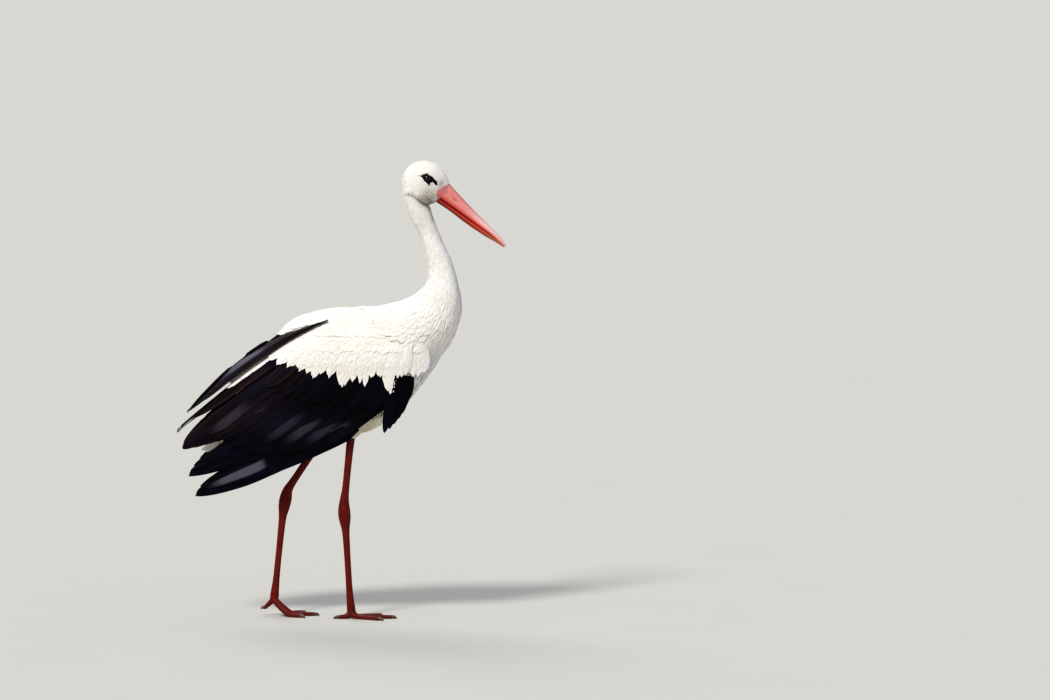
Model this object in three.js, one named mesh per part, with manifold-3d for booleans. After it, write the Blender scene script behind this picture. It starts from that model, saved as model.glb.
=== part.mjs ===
// A life-size white stork, walking, with its wings loosely folded and a little lowered.
// Millimetres. +X is forward, +Y is the bird's left, +Z is up, and it stands on the plane z = 0.
// The numbers are measured from a point between the feet; the finished nodes are moved along X, so that
// the origin lies on the floor under the middle of the bird's outline.
//
// Body, neck and head are one ribbed form, parted by thin cuts. Each rib is a pair of points in the
// bird's middle plane and a half width. The folded wings are vanes laid on one curved side surface.
import * as THREE from "three";
import { mergeVertices } from "three/addons/utils/BufferGeometryUtils.js";
import Module from "manifold-3d";

const wasm = await Module();
wasm.setup();

// ---- Driving dimensions -----------------------------------------------------------------------

const GAP = 0.3; // clearance between neighbouring pieces
const GROW = 0.5; // how much larger a piece is made when it cuts its neighbour
const SLIVER = 0.2; // detail below this is dropped after a join or a cut

// Ribs from bill base to tail root: [back x, back z, front x, front z, half width].
const BODY_RIBS = [
  [221, 869, 193, 834, 13], // 0 bill base
  [213, 887, 186, 832.5, 18.5],
  [201, 904.5, 180.5, 832, 23.5],
  [185, 915, 177, 831, 27.5], // 3 eye
  [164, 918, 176.5, 829.5, 30.5],
  [139, 909.5, 178, 827, 31.5],
  [125.5, 888, 179.5, 822.5, 30],
  [123.5, 862, 181.5, 817, 26.5],
  [127.5, 838, 184, 809.5, 23],
  [137.5, 808, 189, 796.5, 20.5], // 9 nape
  [150.5, 784.5, 196.5, 779.5, 19.5],
  [160.5, 762, 205, 759.5, 20],
  [168, 737, 215.5, 736, 22],
  [172, 708.5, 227, 708.5, 25.5], // 13 lower neck
  [171.5, 683.5, 237, 678, 31.5],
  [164, 666, 243, 646, 41],
  [147, 651, 244, 611, 53],
  [124, 639.5, 234.5, 574, 64], // 17 breast
  [95, 632, 211, 532, 72.5],
  [59, 624, 174, 482, 77.5],
  [19, 618, 124, 423, 79.5],
  [-21, 610, 69, 380, 79], // 21 deepest part of the belly
  [-57, 595, 12, 366, 74],
  [-87, 571, -45, 375, 63],
  [-113, 543, -92, 400, 49],
  [-142, 518, -132, 425, 36],
  [-176, 490, -165, 437, 24],
  [-208, 462, -197, 430, 13], // 27 tail root
];
const HEAD_END = 9.5; // rib index of the cut between head and neck
const NECK_CUT = 13; // rib index of the cut between upper and lower neck
const NECK_END = 16; // rib index of the cut between neck and trunk
const RIB_GAP = 0.02; // a cut's half width, as a share of the space between two ribs

// Bill ribs from base to tip: [culmen x, z, tomium x, z, half width], and the same below the mouth line.
const UPPER_BILL = [
  [220.8, 868.4, 199.8, 842.2, 13],
  [242.6, 844.4, 226, 823.6, 10.8],
  [271.2, 813.8, 258, 800.6, 8.2],
  [300, 784.9, 291, 776.6, 5.8],
  [319, 765.8, 312, 760, 3.8],
  [331.4, 746.6, 329.4, 745.4, 1],
];
const LOWER_BILL = [
  [199.3, 841.6, 193.6, 833.6, 12.4],
  [225.6, 823, 216.5, 818.5, 10.2],
  [257.6, 800, 250, 793, 7.6],
  [290.6, 776, 285, 769, 5.4],
  [311.6, 759.4, 308, 755.8, 3.4],
  [328, 745.8, 326.4, 744.2, 0.9],
];
const BILL_STANDOFF = 0.4; // how far the bill is set off from the face

const EYE = { x: 173.5, y: 22.6, z: 884.5, radius: 8.6 };

const TAIL = { root: [-168, 470], tip: [-276, 338], rootHalf: 15, tipHalf: 37, thickness: 7, arch: 9 };

// Legs: [x, y, z, radius] down the middle of the limb, y outward from the bird's middle plane.
const RIGHT_LEG = {
  side: -1,
  name: "right",
  thigh: [[48, 46, 432, 44], [34, 43, 402, 30], [26, 40, 378, 16], [22, 38.5, 366, 10.5]],
  tibia: [[22.5, 38.8, 372, 8.6], [16, 36, 318, 7.4], [10.6, 33, 264, 7.4], [7.6, 31.4, 236, 9.8], [8, 30, 216, 13]],
  tarsus: [[8, 30, 215, 13], [9.4, 29, 196, 11.2], [11, 28, 172, 7.4], [14.5, 25.6, 110, 6.6], [18, 23.4, 52, 6.8], [22, 22, 12, 9]],
  knuckle: [22, 22, 13],
  toeRoll: 0,
};
const LEFT_LEG = {
  side: 1,
  name: "left",
  thigh: [[14, 46, 432, 44], [-14, 43, 388, 29], [-41, 40, 352, 15], [-52, 38.5, 336, 10.5]],
  tibia: [[-48, 39, 342, 8.6], [-74, 36.5, 303, 7.4], [-96, 33.5, 270, 7.8], [-106, 31.6, 253, 10], [-110, 30.4, 240, 13]],
  tarsus: [[-110.4, 30.3, 239, 13], [-114, 29, 218, 11], [-118, 27.6, 190, 7.4], [-124, 25.2, 130, 6.6], [-130, 23, 72, 6.8], [-134, 22, 34, 9]],
  knuckle: [-134, 22, 36],
  toeRoll: 24,
};
const THIGH = { sides: 10, steps: 4, flat: 0.7 };
// Toes: angle outward from straight ahead, length to the claw.
const TOES = [
  { name: "inner", angle: -30, length: 62 },
  { name: "middle", angle: 2, length: 80 },
  { name: "outer", angle: 33, length: 66 },
];
const HALLUX = { name: "hind", angle: 168, length: 27 };
const TOE = { baseRadius: 6.4, tipRadius: 4.4, centreHeight: 3 };
const CLAW = { length: 11, radius: 3.4, drop: 2.4 };
const WEB = { reach: 24, thickness: 1.6, height: 2.2 };

// The side surface that the folded wings lie on: its ridge line [x, z] from front to rear, and its
// half width, which narrows to the front and rear.
const RIDGE = [[230, 602], [180, 620], [120, 629], [24, 631], [-20, 629], [-76, 616], [-102, 602],
  [-128, 577], [-156, 552], [-204, 522], [-252, 475], [-310, 414], [-340, 377]];
const FOLD = {
  level: 18, // thickness of plumage over the surface, which ridge line and feathers are measured at
  half: 80, halfAt: 60, rearTaper: 0.0004, frontTaper: 0.0017,
  roof: 96, roofRear: 50, roofRate: 0.16, // height over which the ridge rounds into the flank
  tuck: 0.0007, // how the flank draws in below
};

// Feather groups: base [x, z] of the first and last vane, and the tip of every vane, counted from the
// lower outer one to the upper inner one. Each group lies on the one before.
const PRIMARIES = {
  base: [[74, 416], [66, 464]], tips: [[-291, 251], [-307, 293], [-302, 305]],
  half: 19, layer: 0, step: 0.8, bow: 15, tipStart: 0.35, along: 4,
};
const SECONDARIES = {
  base: [[112, 472], [-72, 538]],
  tips: [[-62, 350], [-128, 342], [-192, 339], [-252, 342], [-303, 350]],
  half: 26, layer: 6.5, step: 0.7, bow: 9, tipStart: 0.7, along: 4,
};
const TERTIALS = {
  base: [[-44, 572], [-26, 592]], tips: [[-270, 435], [-304, 411]],
  half: 12, layer: 15.5, step: 0.7, bow: -26, tipStart: 0.6, along: 5,
};
const ALULA = {
  base: [[140, 494], [117, 508]], tips: [[125, 416], [106, 397], [88, 382]],
  half: 15, layer: 13, step: 0.7, bow: -7, tipStart: 0.6, along: 3,
};
const VANE = { thickness: 1.7, across: 2 };
const SHIELD_DEPTH = 32; // how far the shields reach in from the side surface
const LOWER_RIM = 0.85; // thickness of a shield at its lower edge, as a share
const BED = 3.4; // clearance of the bed that a feather group lies in
const BED_END = 24; // how far a bed reaches beyond the ends of its feathers

// Covert shield and scapular shield, from front to rear, in the plane of the side surface.
const COVERTS = {
  upper: [[173, 577], [149, 568], [63, 575], [8, 580], [-34, 594], [-75, 584], [-112, 566], [-145, 531]],
  lower: [[172, 530], [130, 510], [84, 492], [-20, 494], [-144, 522]],
  lobes: 7, lobeDepth: 17, layer: 24, upperRim: 1,
};
const SCAPULARS = {
  lower: [[163, 578], [128, 572], [63, 578], [12, 585], [-30, 595], [-75, 594], [-106, 584], [-122, 572]],
  layer: 20, upperRim: 1,
};

const MATERIALS = {
  whiteFeather: new THREE.MeshStandardMaterial({ color: 0xf4f1ea, roughness: 0.85, metalness: 0 }),
  blackFeather: new THREE.MeshStandardMaterial({ color: 0x121118, roughness: 0.5, metalness: 0 }),
  bill: new THREE.MeshStandardMaterial({ color: 0xd8402f, roughness: 0.4, metalness: 0 }),
  leg: new THREE.MeshStandardMaterial({ color: 0xa6281c, roughness: 0.6, metalness: 0 }),
  claw: new THREE.MeshStandardMaterial({ color: 0x4a3a34, roughness: 0.45, metalness: 0 }),
  eye: new THREE.MeshStandardMaterial({ color: 0x17110d, roughness: 0.08, metalness: 0 }),
};

// ---- Geometry and solids ----------------------------------------------------------------------

const mix = THREE.MathUtils.lerp;
const clamp = THREE.MathUtils.clamp;
const radians = THREE.MathUtils.degToRad;

// Moves every vertex of a three.js geometry to place(x, y, z), and closes it into one solid.
function reshape(geometry, place) {
  const position = geometry.getAttribute("position");
  const point = new THREE.Vector3();
  for (let i = 0; i < position.count; i++) {
    point.fromBufferAttribute(position, i);
    position.setXYZ(i, ...place(point.x, point.y, point.z).toArray());
  }
  return solidOf(geometry);
}

function solidOf(geometry) {
  geometry.deleteAttribute("normal");
  geometry.deleteAttribute("uv");
  const merged = mergeVertices(geometry, 1e-3);
  const position = merged.getAttribute("position");
  const corners = merged.index.array;
  const kept = [];
  for (let i = 0; i < corners.length; i += 3) {
    const [a, b, c] = [corners[i], corners[i + 1], corners[i + 2]];
    if (a !== b && b !== c && a !== c) kept.push(a, b, c);
  }
  const build = (faces) => new wasm.Manifold(
    new wasm.Mesh({ numProp: 3, vertProperties: position.array, triVerts: new Uint32Array(faces) }),
  );
  const made = build(kept);
  return made.volume() > 0 ? made : build(kept.reverse());
}

// A join or a cut can leave crumbs and slivers. The piece itself is the largest body, smoothed of them.
function largest(solid) {
  return solid.simplify(SLIVER).decompose().reduce((a, b) => (b.volume() > a.volume() ? b : a));
}

const join = (solids) => solids.reduce((a, b) => a.add(b));
const cut = (solid, ...cutters) => largest(cutters.reduce((a, b) => a.subtract(b), solid));

const nodes = new THREE.Group();

function addNode(name, solid, material) {
  const mesh = solid.getMesh();
  const geometry = new THREE.BufferGeometry()
    .setAttribute("position", new THREE.BufferAttribute(new Float32Array(mesh.vertProperties), 3))
    .setIndex(new THREE.BufferAttribute(new Uint32Array(mesh.triVerts), 1));
  geometry.computeVertexNormals();
  const node = new THREE.Mesh(geometry, material);
  node.name = name;
  nodes.add(node);
}

// A closed form through ribs. waist is the height of its widest level, from front (0) to back (1).
function ribbed(ribs, { from = 0, to = ribs.length - 1, sides, steps, waist = 0.5, grow = 0, square = 1 }) {
  const last = ribs.length - 1;
  const backs = new THREE.CatmullRomCurve3(ribs.map((r) => new THREE.Vector3(r[0], r[4], r[1])));
  const fronts = new THREE.CatmullRomCurve3(ribs.map((r) => new THREE.Vector3(r[2], r[4], r[3])));
  return reshape(new THREE.CylinderGeometry(1, 1, 1, sides, steps), (x, y, z) => {
    const share = clamp(mix(from, to, y + 0.5) / last, 0, 1);
    const back = backs.getPoint(share);
    const front = fronts.getPoint(share);
    const half = back.y + grow;
    back.y = 0;
    front.y = 0;
    const up = back.clone().sub(front).normalize();
    back.addScaledVector(up, grow);
    front.addScaledVector(up, -grow);
    const middle = front.clone().lerp(back, waist);
    const radius = Math.hypot(x, z);
    if (radius < 1e-6) return middle;
    const height = z / radius;
    const side = Math.sign(x) * Math.abs(x / radius) ** square;
    const end = height > 0 ? back : front;
    return middle.lerp(end, Math.abs(height)).add(new THREE.Vector3(0, half * side, 0));
  });
}

// A round limb along stations [x, y, z, radius]; the lateral radius is `flat` times the other one.
function limb(stations, { sides = 10, steps, flat = 1, grow = 0, floor = -Infinity, ref = [0, 1, 0] }) {
  const path = new THREE.CatmullRomCurve3(stations.map((s) => new THREE.Vector3(s[0], s[1], s[2])));
  const radii = new THREE.CatmullRomCurve3(stations.map((s) => new THREE.Vector3(s[3], 0, 0)));
  const lateral = new THREE.Vector3(...ref);
  return reshape(new THREE.CylinderGeometry(1, 1, 1, sides, steps), (x, y, z) => {
    const share = clamp(y + 0.5, 0, 1);
    const tangent = path.getTangent(share);
    const deep = tangent.clone().cross(lateral).normalize();
    const wide = deep.clone().cross(tangent).normalize();
    const radius = radii.getPoint(share).x + grow;
    const point = path.getPoint(share)
      .addScaledVector(deep, radius * z)
      .addScaledVector(wide, radius * flat * x);
    point.z = Math.max(point.z, floor);
    return point;
  });
}

function ball([x, y, z], radius, sides = 12) {
  return solidOf(new THREE.SphereGeometry(radius, sides, Math.round(sides * 0.7)).translate(x, y, z));
}

// ---- The side surface of the folded wing ------------------------------------------------------

const ridgeLine = new THREE.CatmullRomCurve3(RIDGE.map(([x, z]) => new THREE.Vector3(x, 0, z)));
const ridgePoints = ridgeLine.getPoints(120);

function ridgeHeight(x) {
  const next = ridgePoints.findIndex((p) => p.x <= x);
  if (next <= 0) return ridgePoints.at(next).z;
  const [a, b] = [ridgePoints[next - 1], ridgePoints[next]];
  return mix(a.z, b.z, (a.x - x) / (a.x - b.x));
}

const roofDepth = (x) => clamp(FOLD.roof + FOLD.roofRate * Math.min(x, 0), FOLD.roofRear, FOLD.roof);

// Distance of the side surface from the middle plane at (x, z).
function foldWidth(x, z) {
  const off = x - FOLD.halfAt;
  const half = FOLD.half - (off < 0 ? FOLD.rearTaper : FOLD.frontTaper) * off * off;
  const roof = roofDepth(x);
  const below = Math.max(0, ridgeHeight(x) - FOLD.level - z);
  const rounded = half * Math.sqrt(1 - (1 - Math.min(below / roof, 1)) ** 2);
  return rounded - FOLD.tuck * Math.max(0, below - roof) ** 2;
}

// The height on the side surface of a point whose plumage is seen at height z from the side.
function underPlumage(x, z) {
  const roof = roofDepth(x);
  const share = (ridgeHeight(x) - z) / (roof + FOLD.level);
  return share < 1 ? ridgeHeight(x) - FOLD.level - roof * share : z;
}

// A point out above the side surface, along its normal.
function onFold(x, seenZ, out, side) {
  const z = underPlumage(x, seenZ);
  const width = foldWidth(x, z);
  const slopeX = (foldWidth(x + 2, z) - foldWidth(x - 2, z)) / 4;
  const slopeZ = (foldWidth(x, z + 2) - foldWidth(x, z - 2)) / 4;
  const normal = new THREE.Vector3(-slopeX, 1, -slopeZ).normalize();
  const point = new THREE.Vector3(x, width, z).addScaledVector(normal, out);
  point.y = (width > 0 ? Math.max(point.y, GAP) : GAP) * side;
  return point;
}

const pair = ([x, z]) => new THREE.Vector2(x, z);

// Base, tip and layer of vane number i of a group; i can lie between two vanes.
function vaneLine(group, i) {
  const last = group.tips.length - 1;
  const before = Math.min(Math.floor(i), last - 1);
  const start = pair(group.base[0]).lerp(pair(group.base[1]), i / last);
  const end = pair(group.tips[before]).lerp(pair(group.tips[before + 1]), i - before);
  const across = end.clone().sub(start).normalize();
  const bend = new THREE.Vector2(across.y, -across.x).multiplyScalar(-group.bow);
  const middle = start.clone().lerp(end, 0.5).add(bend);
  return { rachis: new THREE.QuadraticBezierCurve(start, middle, end), layer: group.layer + group.step * i };
}

// One flight feather as a thin vane on the side surface.
function vane(group, i, side, grow) {
  const { rachis, layer } = vaneLine(group, i);
  const box = new THREE.BoxGeometry(1, 1, 1, group.along, VANE.across, 1);
  return reshape(box, (x, y, z) => {
    const share = x + 0.5;
    const past = clamp((share - group.tipStart) / (1 - group.tipStart), 0, 1);
    const width = group.half * Math.sqrt(1 - 0.97 * past * past) + grow;
    const centre = rachis.getPoint(share);
    const tangent = rachis.getTangent(share);
    const lens = 1 - 0.5 * (2 * y) ** 2;
    const out = layer + VANE.thickness * (z * lens + 0.5) + Math.sign(z) * grow;
    const along = Math.abs(x) > 0.49 ? Math.sign(x) * grow : 0;
    const px = centre.x + tangent.x * along - tangent.y * width * 2 * y;
    const pz = centre.y + tangent.y * along + tangent.x * width * 2 * y;
    return onFold(px, pz, out, side);
  });
}

function vaneGroup(group, side, grow = 0) {
  return largest(join(group.tips.map((_, i) => vane(group, i, side, grow))));
}

// The hollow that a feather group lies in: one plate around all its vanes, reaching depth below them.
function bed(group, side, depth) {
  const rows = 7;
  return reshape(new THREE.BoxGeometry(1, 1, 1, 5, rows, 1), (x, y, z) => {
    const i = clamp(((y + 0.5) * rows - 1) / (rows - 2), 0, 1) * (group.tips.length - 1);
    const { rachis, layer } = vaneLine(group, i);
    const centre = rachis.getPoint(x + 0.5);
    const tangent = rachis.getTangent(x + 0.5);
    const wide = Math.abs(y) > 0.49 ? -Math.sign(y) * (group.half + 4) : 0;
    const along = Math.abs(x) > 0.49 ? Math.sign(x) * Math.max(BED_END, 0.75 * group.half) : 0;
    const px = centre.x + tangent.x * along - tangent.y * wide;
    const pz = centre.y + tangent.y * along + tangent.x * wide;
    const out = z > 0 ? layer + VANE.thickness + group.step + BED : layer - depth;
    return onFold(px, pz, out, side);
  });
}

// A shield of small feathers: a plate between two lines, from inside the body out to the side surface.
function shield({ upper, lower, upperRim, lobes = 0, lobeDepth = 0, layer, side, steps, grow = 0 }) {
  const line = (points) => new THREE.CatmullRomCurve3(points.map(([x, z]) => new THREE.Vector3(x, 0, z)));
  const uppers = line(upper);
  const lowers = line(lower);
  const box = new THREE.BoxGeometry(1, 1, 1, steps, 3, 1);
  return reshape(box, (x, y, z) => {
    const share = x + 0.5;
    const high = uppers.getPoint(share);
    const low = lowers.getPoint(share);
    const lobe = Math.abs(Math.sin(Math.PI * lobes * share)) * lobeDepth * Math.sin(Math.PI * share) ** 0.3;
    low.z -= lobe + grow;
    low.x -= lobe * 0.25;
    high.z += grow;
    const point = low.lerp(high, y + 0.5);
    const rim = mix(y > 0 ? upperRim : LOWER_RIM, 1, Math.min(1, (0.5 - Math.abs(y)) * 5));
    const edge = rim * Math.min(1, (0.5 - Math.abs(x)) * 10 + 0.4);
    if (z > 0) return onFold(point.x, point.z, layer * edge + grow, side);
    const inner = underPlumage(point.x, point.z);
    return new THREE.Vector3(point.x, side * Math.max(GAP, foldWidth(point.x, inner) - SHIELD_DEPTH), inner);
  });
}

// ---- Body, neck and head ----------------------------------------------------------------------

const bodyPart = (from, to, steps, sides, options = {}) =>
  ribbed(BODY_RIBS, { from, to, steps, sides, waist: 0.56, square: 0.92, ...options });

const lastRib = BODY_RIBS.length - 1;
const trunk = bodyPart(NECK_END + RIB_GAP, lastRib, 14, 16);
const trunkCutter = bodyPart(NECK_END + RIB_GAP, lastRib, 14, 16, { grow: GROW });
const neckLower = bodyPart(NECK_CUT + RIB_GAP, NECK_END - RIB_GAP, 4, 16);
const neckUpper = bodyPart(HEAD_END + RIB_GAP, NECK_CUT - RIB_GAP, 5, 16);
const head = bodyPart(0, HEAD_END - RIB_GAP, 11, 16, { waist: 0.5 });

for (const side of [-1, 1]) {
  const centre = [EYE.x, side * EYE.y, EYE.z];
  const name = side < 0 ? "right" : "left";
  addNode(`eye_${name}`, ball(centre, EYE.radius, 10), MATERIALS.eye);
}
const sockets = [-1, 1].map((side) => ball([EYE.x, side * EYE.y, EYE.z], EYE.radius + GAP, 10));

addNode("head", cut(head, ...sockets), MATERIALS.whiteFeather);
addNode("neck_upper", neckUpper, MATERIALS.whiteFeather);
addNode("neck_lower", neckLower, MATERIALS.whiteFeather);
addNode("trunk", trunk, MATERIALS.whiteFeather);

const billBase = new THREE.Vector2(UPPER_BILL[0][0], UPPER_BILL[0][1]);
const billAxis = new THREE.Vector2(UPPER_BILL.at(-1)[0], UPPER_BILL.at(-1)[1]).sub(billBase).normalize();
const standOff = (rib) => [
  rib[0] + billAxis.x * BILL_STANDOFF, rib[1] + billAxis.y * BILL_STANDOFF,
  rib[2] + billAxis.x * BILL_STANDOFF, rib[3] + billAxis.y * BILL_STANDOFF, rib[4],
];
addNode("bill_upper", ribbed(UPPER_BILL.map(standOff), { sides: 12, steps: 7, waist: 0.1 }), MATERIALS.bill);
addNode("bill_lower", ribbed(LOWER_BILL.map(standOff), { sides: 12, steps: 7, waist: 0.88 }), MATERIALS.bill);

// ---- Tail -------------------------------------------------------------------------------------

// A fan of white feathers, a little arched across.
function tailFan(grow = 0) {
  const [rx, rz] = TAIL.root;
  const [tx, tz] = TAIL.tip;
  const normal = new THREE.Vector3(rz - tz, 0, tx - rx).normalize();
  return reshape(new THREE.BoxGeometry(1, 1, 1, 5, 6, 1), (x, y, z) => {
    const share = x + 0.5;
    const half = mix(TAIL.rootHalf, TAIL.tipHalf, Math.sqrt(share)) + grow;
    const rounding = 14 * share * (2 * y) ** 2;
    const point = new THREE.Vector3(mix(rx, tx, share), 2 * y * half, mix(rz, tz, share));
    const thin = mix(1, 0.45, share) * TAIL.thickness + 2 * grow;
    const along = new THREE.Vector3(tx - rx, 0, tz - rz).normalize();
    return point
      .addScaledVector(along, -rounding)
      .addScaledVector(normal, -z * thin * (1 - 2 * y * y) + TAIL.arch * share * (2 * y) ** 2);
  });
}
const tail = cut(tailFan(), trunkCutter);
addNode("tail", tail, MATERIALS.whiteFeather);

// ---- Legs and feet ----------------------------------------------------------------------------

const onSide = (stations, side) => stations.map(([x, y, z, r]) => [x, y * side, z, r]);

function toeStations(leg, angle, length) {
  const [kx, ky, kz] = leg.knuckle;
  const turn = radians(angle) * leg.side;
  const at = (reach, z, radius) =>
    [kx + reach * Math.cos(turn), ky * leg.side + reach * Math.sin(turn), z, radius];
  const down = leg.toeRoll;
  if (Math.abs(angle) > 90 && down) {
    return [at(2, kz - 2, 6), at(down * 0.45, kz - 12, 4.6), at(length * 0.72, kz - 20, 4)];
  }
  const level = TOE.centreHeight;
  const landed = down + 14;
  return [
    at(0, kz - 3, TOE.baseRadius + 1),
    at(down * 0.55 + 6, mix(kz, level, 0.62), TOE.baseRadius),
    at(landed, level + 0.6, TOE.baseRadius - 0.8),
    at(mix(landed, length, 0.55), level, TOE.baseRadius - 1.2),
    at(length, level - 0.2, TOE.tipRadius),
  ];
}

function footOf(leg, grow = 0) {
  const toes = [...TOES, HALLUX].map(({ angle, length }) =>
    limb(toeStations(leg, angle, length), { sides: 6, steps: 4, grow, floor: 0, ref: [0, 0, 1] }));
  const knuckle = ball([leg.knuckle[0], leg.knuckle[1] * leg.side, leg.knuckle[2]], 8.6 + grow, 7);
  const webs = [[0, 1], [1, 2]].map(([a, b]) => web(leg, TOES[a].angle, TOES[b].angle, grow));
  return largest(join([...toes, ...webs, knuckle]));
}

// The small fold of skin between the roots of two front toes.
function web(leg, from, to, grow) {
  const [kx, ky, kz] = leg.knuckle;
  return reshape(new THREE.BoxGeometry(1, 1, 1, 2, 2, 1), (x, y, z) => {
    const share = x + 0.5;
    const turn = radians(mix(from, to, y + 0.5)) * leg.side;
    const reach = (WEB.reach + leg.toeRoll) * share * (1 - 0.28 * (1 - 4 * y * y));
    const height = mix(kz - 4, WEB.height + 1, Math.min(1, share * 1.15)) + z * (WEB.thickness + grow);
    return new THREE.Vector3(
      kx + reach * Math.cos(turn), ky * leg.side + reach * Math.sin(turn), Math.max(height, 0.4));
  });
}

function clawOf(leg, angle, length) {
  const stations = toeStations(leg, angle, length);
  const tip = new THREE.Vector3(...stations.at(-1));
  const before = new THREE.Vector3(...stations.at(-2));
  const ahead = tip.clone().sub(before).normalize();
  const at = (reach, z, radius) => [tip.x + ahead.x * reach, tip.y + ahead.y * reach, z, radius];
  const height = tip.z;
  return limb([
    at(2 * GAP, height + 0.8, CLAW.radius),
    at(CLAW.length * 0.45, height + 0.8, CLAW.radius * 0.85),
    at(CLAW.length, Math.max(1.2, height - CLAW.drop), 0.9),
  ], { sides: 6, steps: 3, floor: 0.15, ref: [0, 0, 1] });
}

for (const leg of [RIGHT_LEG, LEFT_LEG]) {
  const thighForm = (grow) => limb(onSide(leg.thigh, leg.side), { ...THIGH, grow });
  const tibiaForm = (grow) => limb(onSide(leg.tibia, leg.side), { sides: 8, steps: 6, flat: 0.82, grow });
  const tarsusForm = limb(onSide(leg.tarsus, leg.side), { sides: 8, steps: 8, flat: 0.8 });
  const foot = footOf(leg);
  const footCutter = footOf(leg, GROW);
  const thigh = cut(thighForm(0), trunkCutter);
  const tibia = cut(tibiaForm(0), trunkCutter, thighForm(GROW));
  addNode(`thigh_${leg.name}`, thigh, MATERIALS.whiteFeather);
  addNode(`tibia_${leg.name}`, tibia, MATERIALS.leg);
  addNode(`tarsus_${leg.name}`, cut(tarsusForm, tibiaForm(GROW), footCutter), MATERIALS.leg);
  addNode(`foot_${leg.name}`, foot, MATERIALS.leg);
  for (const toe of [...TOES, HALLUX]) {
    const claw = cut(clawOf(leg, toe.angle, toe.length), footCutter);
    addNode(`claw_${toe.name}_${leg.name}`, claw, MATERIALS.claw);
  }
}

// ---- Wings ------------------------------------------------------------------------------------

const thighCutters = [RIGHT_LEG, LEFT_LEG].map((leg) =>
  limb(onSide(leg.thigh, leg.side), { ...THIGH, grow: GROW }));
const bodyCutters = [trunkCutter, tailFan(GROW), ...thighCutters];
const neckCutter = bodyPart(NECK_CUT + RIB_GAP, NECK_END - RIB_GAP, 4, 16, { grow: GROW });

for (const side of [-1, 1]) {
  const name = side < 0 ? "right" : "left";
  const secondaryBed = bed(SECONDARIES, side, BED);
  const ridge = SCAPULARS.lower.map(([x]) => [x, ridgeHeight(x)]);
  const covertForm = (grow) => shield({ ...COVERTS, side, steps: 14, grow });
  const scapularForm = shield({ ...SCAPULARS, upper: ridge, side, steps: 9 });
  const hollows = [PRIMARIES, SECONDARIES, TERTIALS, ALULA].map((group) => bed(group, side, SHIELD_DEPTH));

  addNode(`secondaries_${name}`, cut(vaneGroup(SECONDARIES, side), ...bodyCutters), MATERIALS.blackFeather);
  addNode(`primaries_${name}`,
    cut(vaneGroup(PRIMARIES, side), ...bodyCutters, secondaryBed), MATERIALS.blackFeather);
  addNode(`alula_${name}`,
    cut(vaneGroup(ALULA, side), ...bodyCutters, secondaryBed), MATERIALS.blackFeather);
  addNode(`tertials_${name}`,
    cut(vaneGroup(TERTIALS, side), ...bodyCutters, secondaryBed), MATERIALS.blackFeather);
  addNode(`coverts_${name}`, cut(covertForm(0), ...bodyCutters, neckCutter, ...hollows), MATERIALS.whiteFeather);
  addNode(`scapulars_${name}`,
    cut(scapularForm, ...bodyCutters, neckCutter, ...hollows, covertForm(GROW)), MATERIALS.whiteFeather);
}

// The origin goes under the middle of the bird's outline.
const outline = new THREE.Box3().setFromObject(nodes);
const middle = outline.getCenter(new THREE.Vector3());
for (const node of nodes.children) node.geometry.translate(-middle.x, 0, 0);

export default nodes;
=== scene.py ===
"""A life-size white stork for a museum, walking with loosely folded wings: skin, plumage, bill, eyes and claws."""

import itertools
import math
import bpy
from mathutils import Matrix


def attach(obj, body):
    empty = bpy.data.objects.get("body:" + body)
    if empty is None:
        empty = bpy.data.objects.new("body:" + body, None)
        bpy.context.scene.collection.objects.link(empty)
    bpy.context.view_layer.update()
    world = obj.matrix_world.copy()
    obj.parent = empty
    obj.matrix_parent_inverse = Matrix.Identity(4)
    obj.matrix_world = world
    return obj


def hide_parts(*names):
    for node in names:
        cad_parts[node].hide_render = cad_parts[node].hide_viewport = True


bl_info = {
    "name": "White stork",
    "version": (1, 0, 0),
    "blender": (4, 5, 0),
    "location": "3D View > Sidebar > White stork",
    "description": "Dresses the packed stork in skin, feathers, bill, eyes and claws, and sets its stage",
    "category": "Object",
}

import bpy
import numpy as np
from bpy.props import FloatProperty, FloatVectorProperty, IntProperty, PointerProperty
from mathutils import Vector
from mathutils.bvhtree import BVHTree

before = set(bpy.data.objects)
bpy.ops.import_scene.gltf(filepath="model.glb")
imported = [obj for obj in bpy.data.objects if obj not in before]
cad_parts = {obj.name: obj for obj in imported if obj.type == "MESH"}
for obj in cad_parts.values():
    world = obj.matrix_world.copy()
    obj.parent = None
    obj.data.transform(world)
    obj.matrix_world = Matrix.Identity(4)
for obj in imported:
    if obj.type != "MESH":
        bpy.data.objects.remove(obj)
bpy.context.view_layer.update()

MM = 0.001  # the tables below are in millimetres: +X forward, +Y the bird's left, +Z up
MIDDLE_X = 7.21  # where the middle of the bird's outline lies in the tables; it is the finished bird's origin
SIDES = {"right": -1, "left": 1}

# ---- The bird's measures ------------------------------------------------------------------------

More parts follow.
